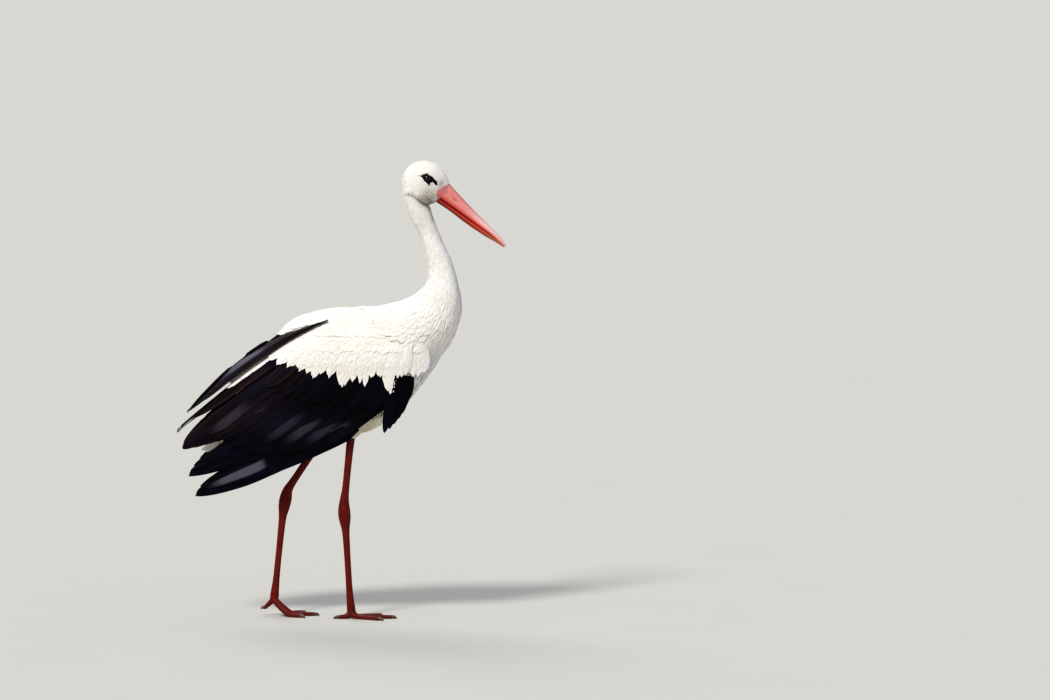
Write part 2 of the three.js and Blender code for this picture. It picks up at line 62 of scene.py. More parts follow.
# Ribs from bill base to tail root: back x, back z, front x, front z, half width.
BODY_RIBS = np.array([
    [221, 869, 193, 834, 13], [213, 887, 186, 832.5, 18.5], [201, 904.5, 180.5, 832, 23.5],
    [185, 915, 177, 831, 27.5], [164, 918, 176.5, 829.5, 30.5], [139, 909.5, 178, 827, 31.5],
    [125.5, 888, 179.5, 822.5, 30], [123.5, 862, 181.5, 817, 26.5], [127.5, 838, 184, 809.5, 23],
    [137.5, 808, 189, 796.5, 20.5], [150.5, 784.5, 196.5, 779.5, 19.5], [160.5, 762, 205, 759.5, 20],
    [168, 737, 215.5, 736, 22], [172, 708.5, 227, 708.5, 25.5], [171.5, 683.5, 237, 678, 31.5],
    [164, 666, 243, 646, 41], [147, 651, 244, 611, 53], [124, 639.5, 234.5, 574, 64],
    [95, 632, 211, 532, 72.5], [59, 624, 174, 482, 77.5], [19, 618, 124, 423, 79.5],
    [-21, 610, 69, 380, 79], [-57, 595, 12, 366, 74], [-87, 571, -45, 375, 63],
    [-113, 543, -92, 400, 49], [-142, 518, -132, 425, 36], [-176, 490, -165, 437, 24],
    [-208, 462, -197, 430, 13],
], float)

# Down the body, by rib: coat depth, feather length, width, space between rows, space in a row.
DEPTH, LENGTH, WIDTH, ROW_GAP, SPACING = range(1, 6)
COAT = np.array([
    [0, 1.6, 4.0, 2.0, 1.7, 1.5], [3, 2.0, 6.4, 2.9, 2.2, 1.9], [6.5, 2.4, 9.0, 3.6, 2.8, 2.3],
    [9.5, 3.0, 12, 4.0, 3.9, 2.7], [12.5, 4.2, 19, 5.2, 5.2, 3.4], [15, 5.6, 29, 7.5, 6.8, 4.6],
    [17, 6.5, 33, 11, 8, 6], [20, 6.5, 32, 14, 9, 7.5], [24, 6.0, 28, 12, 8, 6.5], [27, 4.0, 19, 8, 6, 4.6],
], float)

# Bill ribs from base to tip: upper edge x, z, lower edge x, z, half width.
UPPER_BILL = np.array([
    [220.8, 868.4, 199.8, 842.2, 13], [242.6, 844.4, 226, 823.6, 10.8], [271.2, 813.8, 258, 800.6, 8.2],
    [300, 784.9, 291, 776.6, 5.8], [319, 765.8, 312, 760, 3.8], [331.4, 746.6, 329.4, 745.4, 1],
], float)
LOWER_BILL = np.array([
    [199.3, 841.6, 193.6, 833.6, 12.4], [225.6, 823, 216.5, 818.5, 10.2], [257.6, 800, 250, 793, 7.6],
    [290.6, 776, 285, 769, 5.4], [311.6, 759.4, 308, 755.8, 3.4], [328, 745.8, 326.4, 744.2, 0.9],
], float)

EYE_CENTRE = (173.5, 22.6, 884.5)
EYE_RADIUS = 8.6
PUPIL_RADIUS, IRIS_RADIUS = 2.85, 5.2

# Folds and swellings of the head: their line in x, z, how far they stand out and how wide they are.
HEAD_FOLDS = {
    "cheek": ([[141, 853], [150, 848], [163, 838], [176, 829], [190, 822]], -1.7, 2.8),
    "nape": ([[126, 866], [139, 860], [146, 861]], -0.7, 3.0),
    "brow": ([[156, 892], [172, 897], [188, 889], [199, 877]], 1.1, 4.0),
    "lore": ([[186, 874], [200, 860]], -1.0, 5.0),
}
# Outline of the bare black skin round the eye: x, z.
BARE_SKIN = np.array([
    [153.5, 892.6], [163, 891.6], [167.4, 893.6], [171.4, 894.8], [177, 893.4], [183.2, 888.6], [191, 880.8],
    [196, 876.4], [195.4, 873.6], [197.4, 868.2], [194.4, 865.4], [192, 867.6], [190.2, 872.4],
    [185.4, 876], [181.6, 873.8], [178.4, 868.4], [174.2, 873.6], [169.4, 879.4], [164.6, 885], [162, 887.6],
    [157.8, 889.6],
], float)
# Outline of the bare reddish skin behind the bill: x, z.
GAPE_SKIN = np.array([
    [222, 874], [207, 867.5], [195.5, 860.5], [191.8, 856], [192, 849], [195, 843], [205, 844], [222, 862],
], float)
# The shaded fold between cheek and throat: x, z.
THROAT = np.array([[146, 853], [152, 848], [163, 842], [174, 833], [181, 822], [183, 806]], float)

# Legs down the middle of the limb: x, y outward, z, radius.
LEGS = {
    "right": {
        "thigh": [[48, 46, 432, 44], [34, 43, 402, 30], [26, 40, 378, 16], [22, 38.5, 366, 10.5]],
        "shank": [[23, 39, 382, 8.6], [16, 36, 318, 7.2], [10.6, 33, 264, 7.2], [7.6, 31.4, 238, 9.4],
                  [7.4, 30.2, 218, 12.2], [8.6, 29.4, 200, 11.6], [10.4, 28.2, 178, 7.8], [12.6, 26.9, 142, 6.6],
                  [15.5, 25, 92, 6.3], [18, 23.4, 52, 6.8], [21, 22.2, 18, 8.8], [22, 22, 9, 8.4]],
        "knuckle": [22, 22, 13], "roll": 0,
    },
    "left": {
        "thigh": [[14, 46, 432, 44], [-14, 43, 388, 29], [-41, 40, 352, 15], [-52, 38.5, 336, 10.5]],
        "shank": [[-46, 39.2, 346, 8.6], [-74, 36.5, 303, 7.2], [-96, 33.5, 270, 7.6], [-106, 31.6, 254, 9.6],
                  [-110.4, 30.4, 238, 12.2], [-113.6, 29.2, 221, 11.6], [-117, 27.9, 198, 7.8],
                  [-121, 26.4, 160, 6.6], [-126, 24.6, 112, 6.3], [-130, 23, 72, 6.8], [-133, 22.2, 44, 8.8],
                  [-134, 22, 33, 8.4]],
        "knuckle": [-134, 22, 36], "roll": 24,
    },
}
TOES = {"inner": (-30, 62), "middle": (2, 80), "outer": (33, 66), "hind": (168, 27)}  # angle outward, length
TOE_HEIGHT = 3.0
THIGH_ROWS, THIGH_FLAT, THIGH_DEPTH = 40, 0.72, 4.5  # rings of a thigh, its width over its length, its coat's depth
PLATES_ROUND, PLATE_HEIGHT = 12, 4.4  # the scaly plates of the shank
TOE_BAND, TOE_PAD = 3.4, 11  # lengths of the bands over a toe and of the pads under it

# The side surface that the folded wings lie on. Heights in the tables are those at which its plumage is seen
# from the side, PLUMAGE_LEVEL over the surface; at the middle line it lies MIDDLE_DROP lower than that.
RIDGE = np.array([  # x, z of the line over the back, seen from the side
    [230, 602], [180, 620], [120, 629], [24, 631], [-20, 629], [-76, 616], [-102, 602], [-128, 577],
    [-156, 552], [-204, 522], [-252, 475], [-310, 414], [-340, 377],
], float)
PLUMAGE_LEVEL = 18.0
MIDDLE_DROP, DROP_REACH = 6.5, 85
ROOF, LEAST_ROOF = 96.0, 50  # how far down the surface curves out, before it hangs, and the same at the tail
WIDEST_X, WIDEST = 60.0, 80.0  # where the surface stands furthest from the middle plane, and how far
BACK_TAPER, FRONT_TAPER, LOW_TAPER = 0.0004, 0.0017, 0.0007  # how it comes in behind, ahead of and below that

# Flight feathers, from the lower outer one to the upper inner one, in the plane of the side surface.
# half: half width; layer: height over the surface; step: rise from one feather to the next; bend: shift of
# the shaft's middle; taper: where along its length a feather begins to narrow; sharp: 0.5 round to 1 pointed.
FLIGHT = {
    "primaries": dict(
        base=[[34, 390], [76, 456]], half=18.5, layer=0.8, step=0.45, bend=[[6, -12], [-2, 22]], taper=0.68,
        sharp=0.65, tips=[[-292, 250], [-290, 254], [-284, 263], [-307, 291], [-305, 295], [-298, 305], [-286, 319]]),
    "secondaries": dict(
        base=[[112, 472], [-74, 543]], half=23, layer=6.5, step=0.3, bend=[[5, -6], [5, -2]], taper=0.64, sharp=0.5,
        tips=[[-62, 350], [-88, 346], [-112, 343], [-134, 341], [-155, 340], [-175, 340], [-196, 344], [-216, 354],
              [-236, 369], [-262, 364], [-284, 357], [-303, 352], [-318, 348]]),
    "tertials": dict(
        base=[[-74, 584], [-24, 604]], half=11, layer=16.5, step=0.85, bend=[[0, 38], [0, 46]], taper=0.6, sharp=0.6,
        tips=[[-270, 446], [-282, 438], [-292, 430], [-300, 423], [-305, 418]], root=[0.12, 2.2]),
    "inner_secondaries": dict(
        base=[[-118, 534], [-122, 536]], half=8.5, layer=13.4, step=0.4, bend=[[0, 0], [0, 2]], taper=0.62, sharp=0.6,
        tips=[[-292, 411], [-268, 424]]),
    "wisps": dict(
        base=[[-206, 474], [-204, 476]], half=3.2, layer=13, step=0.8, bend=[[0, 6], [0, 6]], taper=0.45, sharp=0.8,
        tips=[[-330, 382], [-322, 391]]),
    "alula": dict(
        base=[[136, 494], [110, 496]], half=12.5, layer=13, step=0.5, bend=[[3, 2], [3, 2]], taper=0.4, sharp=0.6,
        tips=[[133, 443], [128, 430], [122, 418], [115, 407], [107, 397], [98, 388], [88, 380]]),
    "black_coverts": dict(
        base=[[122, 520], [-70, 548]], half=14, layer=10.5, step=0.25, bend=[[3, -4], [3, -4]], taper=0.5, sharp=0.5,
        tips=[[66, 428], [50, 427], [33, 428], [16, 430], [-1, 433], [-19, 436], [-37, 439], [-55, 442],
              [-74, 446], [-94, 451], [-115, 457], [-134, 464], [-150, 474]]),
}
# The dark band of the tertials, which no white feather crosses: x, top, bottom. It ends at BAND_END.
BAND_END = -24
BAND = np.array([[-200, 527, 503], [-155, 553, 527], [-140, 565, 538], [-121, 580, 558], [-104, 589, 569],
                 [-80, 596, 578], [-50, 601, 590], [-24, 605.5, 604.5]])

# Hanging lobes of the white coverts: tip x, tip z, root x, root z, width.
LOBES = np.array([
    [-144, 527, -106, 562, 20], [-126, 517, -92, 558, 21], [-105, 513, -74, 554, 23], [-82, 505, -57, 552, 24],
    [-66, 500, -44, 550, 18], [-54, 491, -34, 550, 22], [-40, 499, -20, 550, 18], [-22, 493, -6, 548, 22],
    [4, 473, 14, 548, 27], [25, 484, 33, 546, 15], [40, 483, 44, 546, 13], [50, 476, 52, 548, 12],
    [62, 492, 66, 546, 18], [80, 493, 84, 546, 20], [100, 460, 111, 546, 33], [133, 500, 135, 552, 17],
], float)

# The long white feathers along the band's lower edge: x, z, angle down in degrees, length, width, height.
STRIPE = np.array([[-98, 566, 37, 100, 17, 12.6], [-112, 556, 36, 110, 17, 12.3], [-128, 545, 36, 122, 16, 12.0]])

# x, z and half width at root and tip; how far the sides hang below the middle, all along and at the tip.
TAIL = dict(root=(-168.0, 470.0), tip=(-278.0, 335.0), root_half=15.0, tip_half=37.0, arch=9.0, droop=15.0)

COAT_DEPTH = 0.0065  # metres, what the table of the coat holds for the breast
FEATHER_LENGTH = 0.032
COAT_STEP, VANE_STEP = 0.6180339, 0.618  # golden steps, which spread the feathers' own numbers over 0 to 1

made = {}  # the skin's surface and the shared materials, filled in by the operators


# ---- Settings -----------------------------------------------------------------------------------

def size_setting(name, description, default, low, high):
    return FloatProperty(name=name, description=description, default=default, min=low, max=high, unit="LENGTH")


def colour_setting(name, description, default):
    return FloatVectorProperty(name=name, description=description, default=default, size=3, min=0, max=1,
                               subtype="COLOR")


class StorkSizes(bpy.types.PropertyGroup):
    """Sizes that a user would change"""
    coat_depth: size_setting("Coat depth", "Depth of the plumage over the skin at the breast", COAT_DEPTH, 0.002, 0.02)
    skin_grain: size_setting("Skin grain", "Edge of a face of the skin of body, neck and head", 0.0024, 0.0015, 0.006)
    leg_grain: size_setting("Leg grain", "Edge of a face of the scaly skin of legs and feet", 0.00115, 0.0008, 0.004)
    feather_length: size_setting("Feather length", "Length of the breast feathers", FEATHER_LENGTH, 0.01, 0.06)
    eye_opening: size_setting("Eye opening", "Half the length of the opening between the lids", 0.0056, 0.003, 0.007)
    seed: IntProperty(name="Seed", description="Start of the small irregularities in the plumage", default=7, min=0)


class StorkColours(bpy.types.PropertyGroup):
    """Colours that a user would change"""
    white: colour_setting("White plumage", "Colour of head, neck, breast and back", (0.86, 0.845, 0.81))
    # Cream is the white plumage's own uneven tint, and also painted shade in its creases and shoulder folds.
    cream: colour_setting("Cream tint", "Tint in the folds and roots of the white plumage", (0.74, 0.655, 0.53))
    buff: colour_setting("Buff tint", "Tint of the lower belly beside the wing", (0.62, 0.53, 0.31))
    black: colour_setting("Black plumage", "Colour of the flight feathers", (0.0018, 0.0017, 0.0028))
    brown: colour_setting("Brown edge", "Worn edges of the upper flight feathers", (0.095, 0.048, 0.034))
    # The silver web colour is partly the webs' own grey and partly a painted highlight.
    silver: colour_setting("Silver web", "Outer webs of some flight feathers", (0.115, 0.105, 0.145))
    bill: colour_setting("Bill", "Red of the lower bill", (0.37, 0.013, 0.008))
    bill_pale: colour_setting("Bill, pale", "Pinkish red of the upper bill", (0.80, 0.20, 0.17))
    leg: colour_setting("Leg", "Deep red of the legs and feet", (0.13, 0.0075, 0.004))
    bare: colour_setting("Bare skin", "Black skin round the eye", (0.0035, 0.0035, 0.004))
    iris: colour_setting("Iris", "Dark brown of the iris", (0.012, 0.006, 0.004))
    claw: colour_setting("Claw", "Horn of the claws", (0.075, 0.045, 0.035))
    floor: colour_setting("Floor", "Colour of the plain floor", (0.50, 0.49, 0.46))


def sizes():
    return bpy.context.scene.stork_sizes


def colours():
    return bpy.context.scene.stork_colours


def dice(salt):
    """Random numbers of their own for each job, so that one job doesn't change another."""
    return np.random.default_rng(sizes().seed * 1000 + salt)


# ---- Lines and small sums -----------------------------------------------------------------------

def spline(rows, at):
    """Points of a smooth line through the rows, at row numbers that can lie between two rows."""
    rows = np.asarray(rows, float)
    last = len(rows) - 1
    at = np.clip(np.asarray(at, float), 0, last)
    i = np.minimum(at.astype(int), last - 1)
    f = (at - i)[..., None]
    before, a, b, after = (rows[np.clip(i + k, 0, last)] for k in (-1, 0, 1, 2))
    return 0.5 * (2 * a + (b - before) * f + (2 * before - 5 * a + 4 * b - after) * f**2
                  + (3 * a - before - 3 * b + after) * f**3)


def even_spline(rows, count):
    """A number of points along the whole smooth line."""
    return spline(rows, np.linspace(0, len(rows) - 1, count))


def turns(count):
    """Angles once round."""
    return np.linspace(0, 2 * np.pi, count, endpoint=False)


def unit(v):
    return v / np.maximum(np.linalg.norm(v, axis=-1, keepdims=True), 1e-9)


def fade(x, low, high):
    """0 below low, 1 above high, smooth between."""
    t = np.clip((np.asarray(x, float) - low) / (high - low), 0, 1)
    return t * t * (3 - 2 * t)


def bell(x, middle, reach):
    """1 at the middle, falling to little beyond the reach."""
    return np.exp(-(((x - middle) / reach) ** 2))


def leaning_spot(p, x, z, along, across, lean):
    """1 at x, z, falling off within two reaches; lean turns the first one up from +X, in radians."""
    dx, dz = p[..., 0] - x, p[..., 2] - z
    u = dx * math.cos(lean) + dz * math.sin(lean)
    v = dz * math.cos(lean) - dx * math.sin(lean)
    return np.exp(-((u / along) ** 2) - (v / across) ** 2)


def ripple(p, scale, salt=0.0):
    """A soft irregular field between about -1 and 1, with waves of about `scale` millimetres."""
    q = np.asarray(p, float) / scale + salt
    x, y, z = q[..., 0], q[..., 1], q[..., 2]
    return (np.sin(2.1 * x + 1.7 * np.sin(1.3 * y + 0.7)) + np.sin(2.6 * y + 1.9 * np.sin(1.1 * z + salt))
            + np.sin(2.3 * z + 1.5 * np.sin(1.7 * x - salt))) / 3


def blend_colour(a, b, share):
    """Colour a turning to colour b as the share goes from 0 to 1."""
    share = np.asarray(share)[..., None]
    return np.asarray(a) * (1 - share) + np.asarray(b) * share


def inside_outline(x, z, outline):
    """Which points lie in a closed outline in the x-z plane."""
    inside = np.zeros(np.shape(x), bool)
    for (ax, az), (bx, bz) in zip(outline, np.roll(outline, -1, axis=0)):
        crosses = (az > z) != (bz > z)
        with np.errstate(divide="ignore", invalid="ignore"):
            reach = ax + (z - az) * (bx - ax) / (bz - az)
        inside ^= crosses & (x < reach)
    return inside


def line_distance(x, z, line):
    """Distance from points to a line of x, z corners, and which side of it they lie on."""
    best = np.full(np.shape(x), 1e9)
    side = np.zeros(np.shape(x))
    for (ax, az), (bx, bz) in zip(line[:-1], line[1:]):
        dx, dz = bx - ax, bz - az
        t = np.clip(((x - ax) * dx + (z - az) * dz) / (dx * dx + dz * dz), 0, 1)
        d = np.hypot(x - ax - t * dx, z - az - t * dz)
        nearer = d < best
        best = np.where(nearer, d, best)
        side = np.where(nearer, np.sign(dx * (z - az) - dz * (x - ax)), side)
    return best, side


# ---- Meshes -------------------------------------------------------------------------------------

def ring_quads(rows, sides):
    i = np.arange(rows - 1)[:, None] * sides
    j = np.arange(sides)[None, :]
    k = (j + 1) % sides
    return np.stack([i + j, i + k, i + sides + k, i + sides + j], -1).reshape(-1, 4)


def grid_quads(rows, columns):
    i = np.arange(rows - 1)[:, None] * columns
    j = np.arange(columns - 1)[None, :]
    return np.stack([i + j, i + j + 1, i + columns + j + 1, i + columns + j], -1).reshape(-1, 4)


def closed_loft(rings):
    """Points and faces of a closed form through rings of points."""
    rows, sides = rings.shape[:2]
    points = np.concatenate([rings.reshape(-1, 3), rings[0].mean(0)[None], rings[-1].mean(0)[None]])
    j = np.arange(sides)
    k = (j + 1) % sides
    low, high = rows * sides, rows * sides + 1
    end = (rows - 1) * sides
    caps = np.concatenate([np.stack([k, j, np.full(sides, low)], -1),
                           np.stack([end + j, end + k, np.full(sides, high)], -1)])
    return points, [ring_quads(rows, sides), caps]


def sheet_grid(outer, inner):
    """Points and faces of a closed thin form between two grids of the same size."""
    rows, columns = outer.shape[:2]
    n = rows * columns
    points = np.concatenate([outer.reshape(-1, 3), inner.reshape(-1, 3)])
    top = grid_quads(rows, columns)
    rim = np.concatenate([np.arange(columns), np.arange(1, rows) * columns + columns - 1,
                          (rows - 1) * columns + np.arange(columns - 2, -1, -1),
                          np.arange(rows - 2, 0, -1) * columns])
    nxt = np.roll(rim, -1)
    sides = np.stack([rim, rim + n, nxt + n, nxt], -1)
    return points, [top, top[:, ::-1] + n, sides]


def merged(parts):
    """One list of points and one list of faces from several."""
    faces, base = [], 0
    for points, groups in parts:
        faces += [g + base for g in groups]
        base += len(points)
    return np.concatenate([points for points, _ in parts]), faces


def mesh_of(name, points, faces):
    mesh = bpy.data.meshes.new(name)
    mesh.vertices.add(len(points))
    mesh.vertices.foreach_set("co", ((np.asarray(points) - [MIDDLE_X, 0, 0]) * MM).astype(np.float32).ravel())
    loops = np.concatenate([f.ravel() for f in faces]).astype(np.int32)
    widths = np.concatenate([np.full(len(f), f.shape[1]) for f in faces])
    mesh.loops.add(len(loops))
    mesh.loops.foreach_set("vertex_index", loops)
    mesh.polygons.add(len(widths))
    mesh.polygons.foreach_set("loop_start", np.concatenate([[0], np.cumsum(widths)[:-1]]).astype(np.int32))
    mesh.polygons.foreach_set("use_smooth", np.ones(len(widths), bool))
    mesh.update(calc_edges=True)
    return mesh


def paint(mesh, tint):
    layer = mesh.color_attributes.new("tint", "FLOAT_COLOR", "POINT")
    rgba = np.ones((len(mesh.vertices), 4), np.float32)
    rgba[:, :3] = np.clip(tint, 0, 1)
    layer.data.foreach_set("color", rgba.ravel())


def lay_vanes(mesh, values):
    """Where each point lies in its feather: across from -1 to 1, along from 0 to 1, and the feather's own number."""
    layer = mesh.attributes.new("vane", "FLOAT_VECTOR", "POINT")
    layer.data.foreach_set("vector", np.asarray(values, np.float32).ravel())


def lay_patches(mesh, places):
    """The map of the coat: every feather a small patch at its root's place."""
    layer = mesh.uv_layers.new(name="OFBake")
    corner = np.empty(len(mesh.loops), np.int32)
    mesh.loops.foreach_get("vertex_index", corner)
    layer.data.foreach_set("uv", np.clip(places, 0.001, 0.999)[corner].astype(np.float32).ravel())


def placed(name, data):
    """A new object in the scene."""
    obj = bpy.data.objects.new(name, data)
    bpy.context.collection.objects.link(obj)
    return obj


def piece(mesh, materials, nodes=()):
    """Shows a mesh as a piece of the bird, riding on its one body."""
    obj = placed(mesh.name, mesh)
    for m in materials:
        mesh.materials.append(m)
    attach(obj, "root")
    if nodes:
        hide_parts(*nodes)


def fused(parts, grain, smoothing):
    """Closed forms grown into one even skin. Returns its points and quads."""
    mesh = mesh_of("fusing", *merged(parts))
    obj = placed("fusing", mesh)
    remesh = obj.modifiers.new("fuse", "REMESH")
    remesh.mode = "VOXEL"
    remesh.voxel_size = grain
    remesh.adaptivity = 0
    smooth = obj.modifiers.new("smooth", "SMOOTH")
    smooth.factor = 0.5
    smooth.iterations = smoothing
    result = bpy.data.meshes.new_from_object(obj.evaluated_get(bpy.context.evaluated_depsgraph_get()))
    points = np.empty(len(result.vertices) * 3)
    result.vertices.foreach_get("co", points)
    corners = np.empty(len(result.loops), np.int32)
    result.loops.foreach_get("vertex_index", corners)
    if len(corners) != 4 * len(result.polygons) or not len(corners):
        raise RuntimeError("the skin didn't close into even quads")
    bpy.data.objects.remove(obj)
    bpy.data.meshes.remove(mesh)
    bpy.data.meshes.remove(result)
    return points.reshape(-1, 3) / MM + [MIDDLE_X, 0, 0], corners.reshape(-1, 4)


def point_normals(points, quads):
    across = np.cross(points[quads[:, 2]] - points[quads[:, 0]], points[quads[:, 3]] - points[quads[:, 1]])
    normals = np.zeros_like(points)
    for c in range(4):
        np.add.at(normals, quads[:, c], across)
    return unit(normals)


class Surface:
    """A skin that feathers are laid on."""

    def __init__(self, points, quads):
        self.tree = BVHTree.FromPolygons(points.tolist(), quads.tolist())
        self.normals = unit(point_normals(points, quads)[quads].mean(1))

    def nearest(self, points):
        """The nearest places on the skin, and which way it faces there."""
        found = [self.tree.find_nearest(p) for p in points.tolist()]
        return np.array([place for place, _, _, _ in found]), self.normals[[face for _, _, face, _ in found]]

    def side_height(self, x, z, side):
        """How far out the skin is, seen from the side, at each x and z."""
        far_out = 200.0 * side
        hits = [self.tree.ray_cast((a, far_out, b), (0, -side, 0))[0] for a, b in zip(x.tolist(), z.tolist())]
        return np.array([abs(hit[1]) if hit else np.nan for hit in hits])


# ---- Forms of body and wing ---------------------------------------------------------------------

def coat_at(rib, column):
    """One measure of the coat at a rib number."""
    return np.interp(rib, COAT[:, 0], COAT[:, column])


def body_point(rib, turn, inset=0.0):
    """A point of the body's outline at a rib number and a turn: a quarter turn is the back's middle line."""
    rib, turn, inset = np.broadcast_arrays(np.asarray(rib, float), np.asarray(turn, float), inset)
    row = spline(BODY_RIBS, rib)
    back, front = row[..., 0:2], row[..., 2:4]
    up = unit(back - front)
    back = back - up * inset[..., None]
    front = front + up * inset[..., None]
    waist = (0.5 + 0.06 * fade(rib, 9, 11))[..., None]
    middle = front * (1 - waist) + back * waist
    height = np.sin(turn)
    share = np.abs(height)[..., None]
    flat = middle * (1 - share) + np.where(height[..., None] > 0, back, front) * share
    wide = np.cos(turn)
    y = (row[..., 4] - inset) * np.sign(wide) * np.abs(wide) ** 0.92
    return np.stack([flat[..., 0], y, flat[..., 1]], -1)


def tube(stations, rows, sides, side=1, grow=0.0, flat=1.0, ref=(0, 1, 0), floor=None):
    """Rings of a limb along stations x, y, z, radius."""
    line = even_spline(stations, rows)
    centre = line[:, :3] * [1, side, 1]
    ahead = unit(np.gradient(centre, axis=0))
    deep = unit(np.cross(ahead, ref))
    wide = np.cross(deep, ahead)
    turn = turns(sides)[:, None]
    radius = (line[:, 3] + grow)[:, None, None]
    rings = centre[:, None] + radius * np.cos(turn) * deep[:, None] + radius * flat * np.sin(turn) * wide[:, None]
    if floor is not None:
        rings[..., 2] = np.maximum(rings[..., 2], floor)
    return rings


ridge_line = even_spline(RIDGE, 240)[::-1]


def ridge_height(x):
    return np.interp(x, ridge_line[:, 0], ridge_line[:, 1])


def roof_depth(x):
    return np.clip(ROOF + 0.16 * np.minimum(x, 0), LEAST_ROOF, ROOF)


def fold_width(x, z):
    """Distance of the folded wing's side surface from the middle plane."""
    off = x - WIDEST_X
    half = WIDEST - np.where(off < 0, BACK_TAPER, FRONT_TAPER) * off * off
    roof = roof_depth(x)
    below = np.maximum(0, ridge_height(x) - PLUMAGE_LEVEL - z)
    rounded = half * np.sqrt(1 - (1 - np.minimum(below / roof, 1)) ** 2)
    return rounded - LOW_TAPER * np.maximum(0, below - roof) ** 2


def under_plumage(x, z):
    """Height on the side surface under plumage that is seen at height z."""
    roof = roof_depth(x)
    share = (ridge_height(x) - z) / (roof + PLUMAGE_LEVEL)
    return np.where(share < 1, ridge_height(x) - PLUMAGE_LEVEL - roof * share, z)


def on_fold(x, seen_z, out, side):
    """Points over the wing's side surface, whose plumage is seen at height seen_z from the side."""
    x, seen_z, out = np.broadcast_arrays(np.asarray(x, float), seen_z, out)
    z = under_plumage(x, seen_z)
    width = fold_width(x, z)
    step = 2
    slope_x = (fold_width(x + step, z) - fold_width(x - step, z)) / (2 * step)
    slope_z = (fold_width(x, z + step) - fold_width(x, z - step)) / (2 * step)
    normal = unit(np.stack([-slope_x, np.ones_like(x), -slope_z], -1))
    points = np.stack([x, width, seen_z], -1) + normal * (out[..., None] - [PLUMAGE_LEVEL, 0, PLUMAGE_LEVEL])
    points[..., 1] = np.maximum(points[..., 1], 0.3)  # clear of the other wing
    points[..., 2] -= MIDDLE_DROP * (1 - np.minimum(points[..., 1] / DROP_REACH, 1))
    points[..., 1] *= side
    return points


def wing_core(side):
    """The arm and hand of the folded wing, under its coverts and scapulars."""
    rows, front, back, rounded_rows = 56, 168, -128, 7.0
    thin, bulge, depth = 1.5, 12.4, 30  # its least height over the side surface, what it adds, how deep it goes
    xs = np.linspace(front, back, rows)
    share = np.linspace(0, 1, 30)
    low = np.interp(-xs, [-168, -130, -84, 20, 128], [536, 522, 508, 510, 535])
    high = ridge_height(xs) - 1
    z = low[:, None] + (high - low)[:, None] * share[None, :]
    x = np.broadcast_to(xs[:, None], z.shape)
    from_end = np.minimum(np.arange(rows), rows - 1 - np.arange(rows))
    ends = np.minimum(1, from_end / rounded_rows)[:, None]
    outer = on_fold(x, z, thin + bulge * (fade(share, 0, 0.42) * np.sqrt(ends)), side)
    inner_z = under_plumage(x, z)
    inner = np.stack([x, side * np.maximum(0.0, fold_width(x, inner_z) - depth), inner_z], -1)
    return sheet_grid(outer, inner)


def toe_line(leg, angle, length):
    """Stations along a toe, from the knuckle to the claw's root."""
    kx, ky, kz = leg["knuckle"]
    turn = math.radians(angle)
    down = leg["roll"]

    def at(reach, z, radius):
        return [kx + reach * math.cos(turn), ky + reach * math.sin(turn), z, radius]

    if abs(angle) > 90 and down:
        return [at(0, kz - 1, 6.4), at(down * 0.45, kz - 12, 4.7), at(length * 0.72, kz - 20, 4.0)]
    landed = down + 14
    middle = landed + (length - landed) * 0.55
    return [at(0, kz - 3, 7.2), at(down * 0.55 + 6, kz + (TOE_HEIGHT - kz) * 0.62, 6.4),
            at(landed, TOE_HEIGHT + 0.6, 5.6), at(middle, TOE_HEIGHT, 5.1), at(length, TOE_HEIGHT - 0.2, 4.4)]


def web_form(leg, first, second, side):
    """The small fold of skin between the roots of two front toes."""
    kx, ky, kz = leg["knuckle"]
    length, scoop, half_thick, over_floor = 24 + leg["roll"], 0.3, 1.5, 0.4
    share = np.linspace(0, 1, 12)[:, None]
    across = np.linspace(0, 1, 14)
    turn = np.radians(first + (second - first) * across)
    reach = length * share * (1 - scoop * (1 - (2 * across - 1) ** 2))
    height = (kz - 4) + (3.2 - kz + 4) * np.minimum(1, share * 1.15) + 0 * across
    flat = np.stack([kx + reach * np.cos(turn), (ky + reach * np.sin(turn)) * side, height], -1)
    lift = np.array([0, 0, half_thick])
    low = flat - lift
    low[..., 2] = np.maximum(low[..., 2], over_floor)
    return sheet_grid(flat + lift, low)


# ---- Laying feathers ----------------------------------------------------------------------------

SUNK = 2.6  # how deep under the skin a feather's place may lie before the feather is left out
HEAD_END, NECK_END = 8.2, 15.2  # rib numbers

SHAPES = {  # where the rows lie along the vane, and the half width there, both as shares
    "round": ([0, 0.18, 0.42, 0.68, 0.88, 1.0], [0.30, 0.74, 1.0, 0.95, 0.66, 0.20]),
    "lance": ([0, 0.2, 0.45, 0.7, 0.88, 1.0], [0.36, 0.86, 1.0, 0.70, 0.36, 0.06]),
    "small": ([0, 0.4, 0.78, 1.0], [0.42, 1.0, 0.78, 0.22]),
}


def shape_rows(shape):
    return (np.array(v) for v in SHAPES[shape])


def frayed(rng, n, columns, most):
    """How far each column of a vane's tip stands out, by turns forward and back, as a share of the length."""
    return np.where(np.arange(columns) % 2, 1.0, -1.0) * rng.uniform(0.005, most, (n, columns))


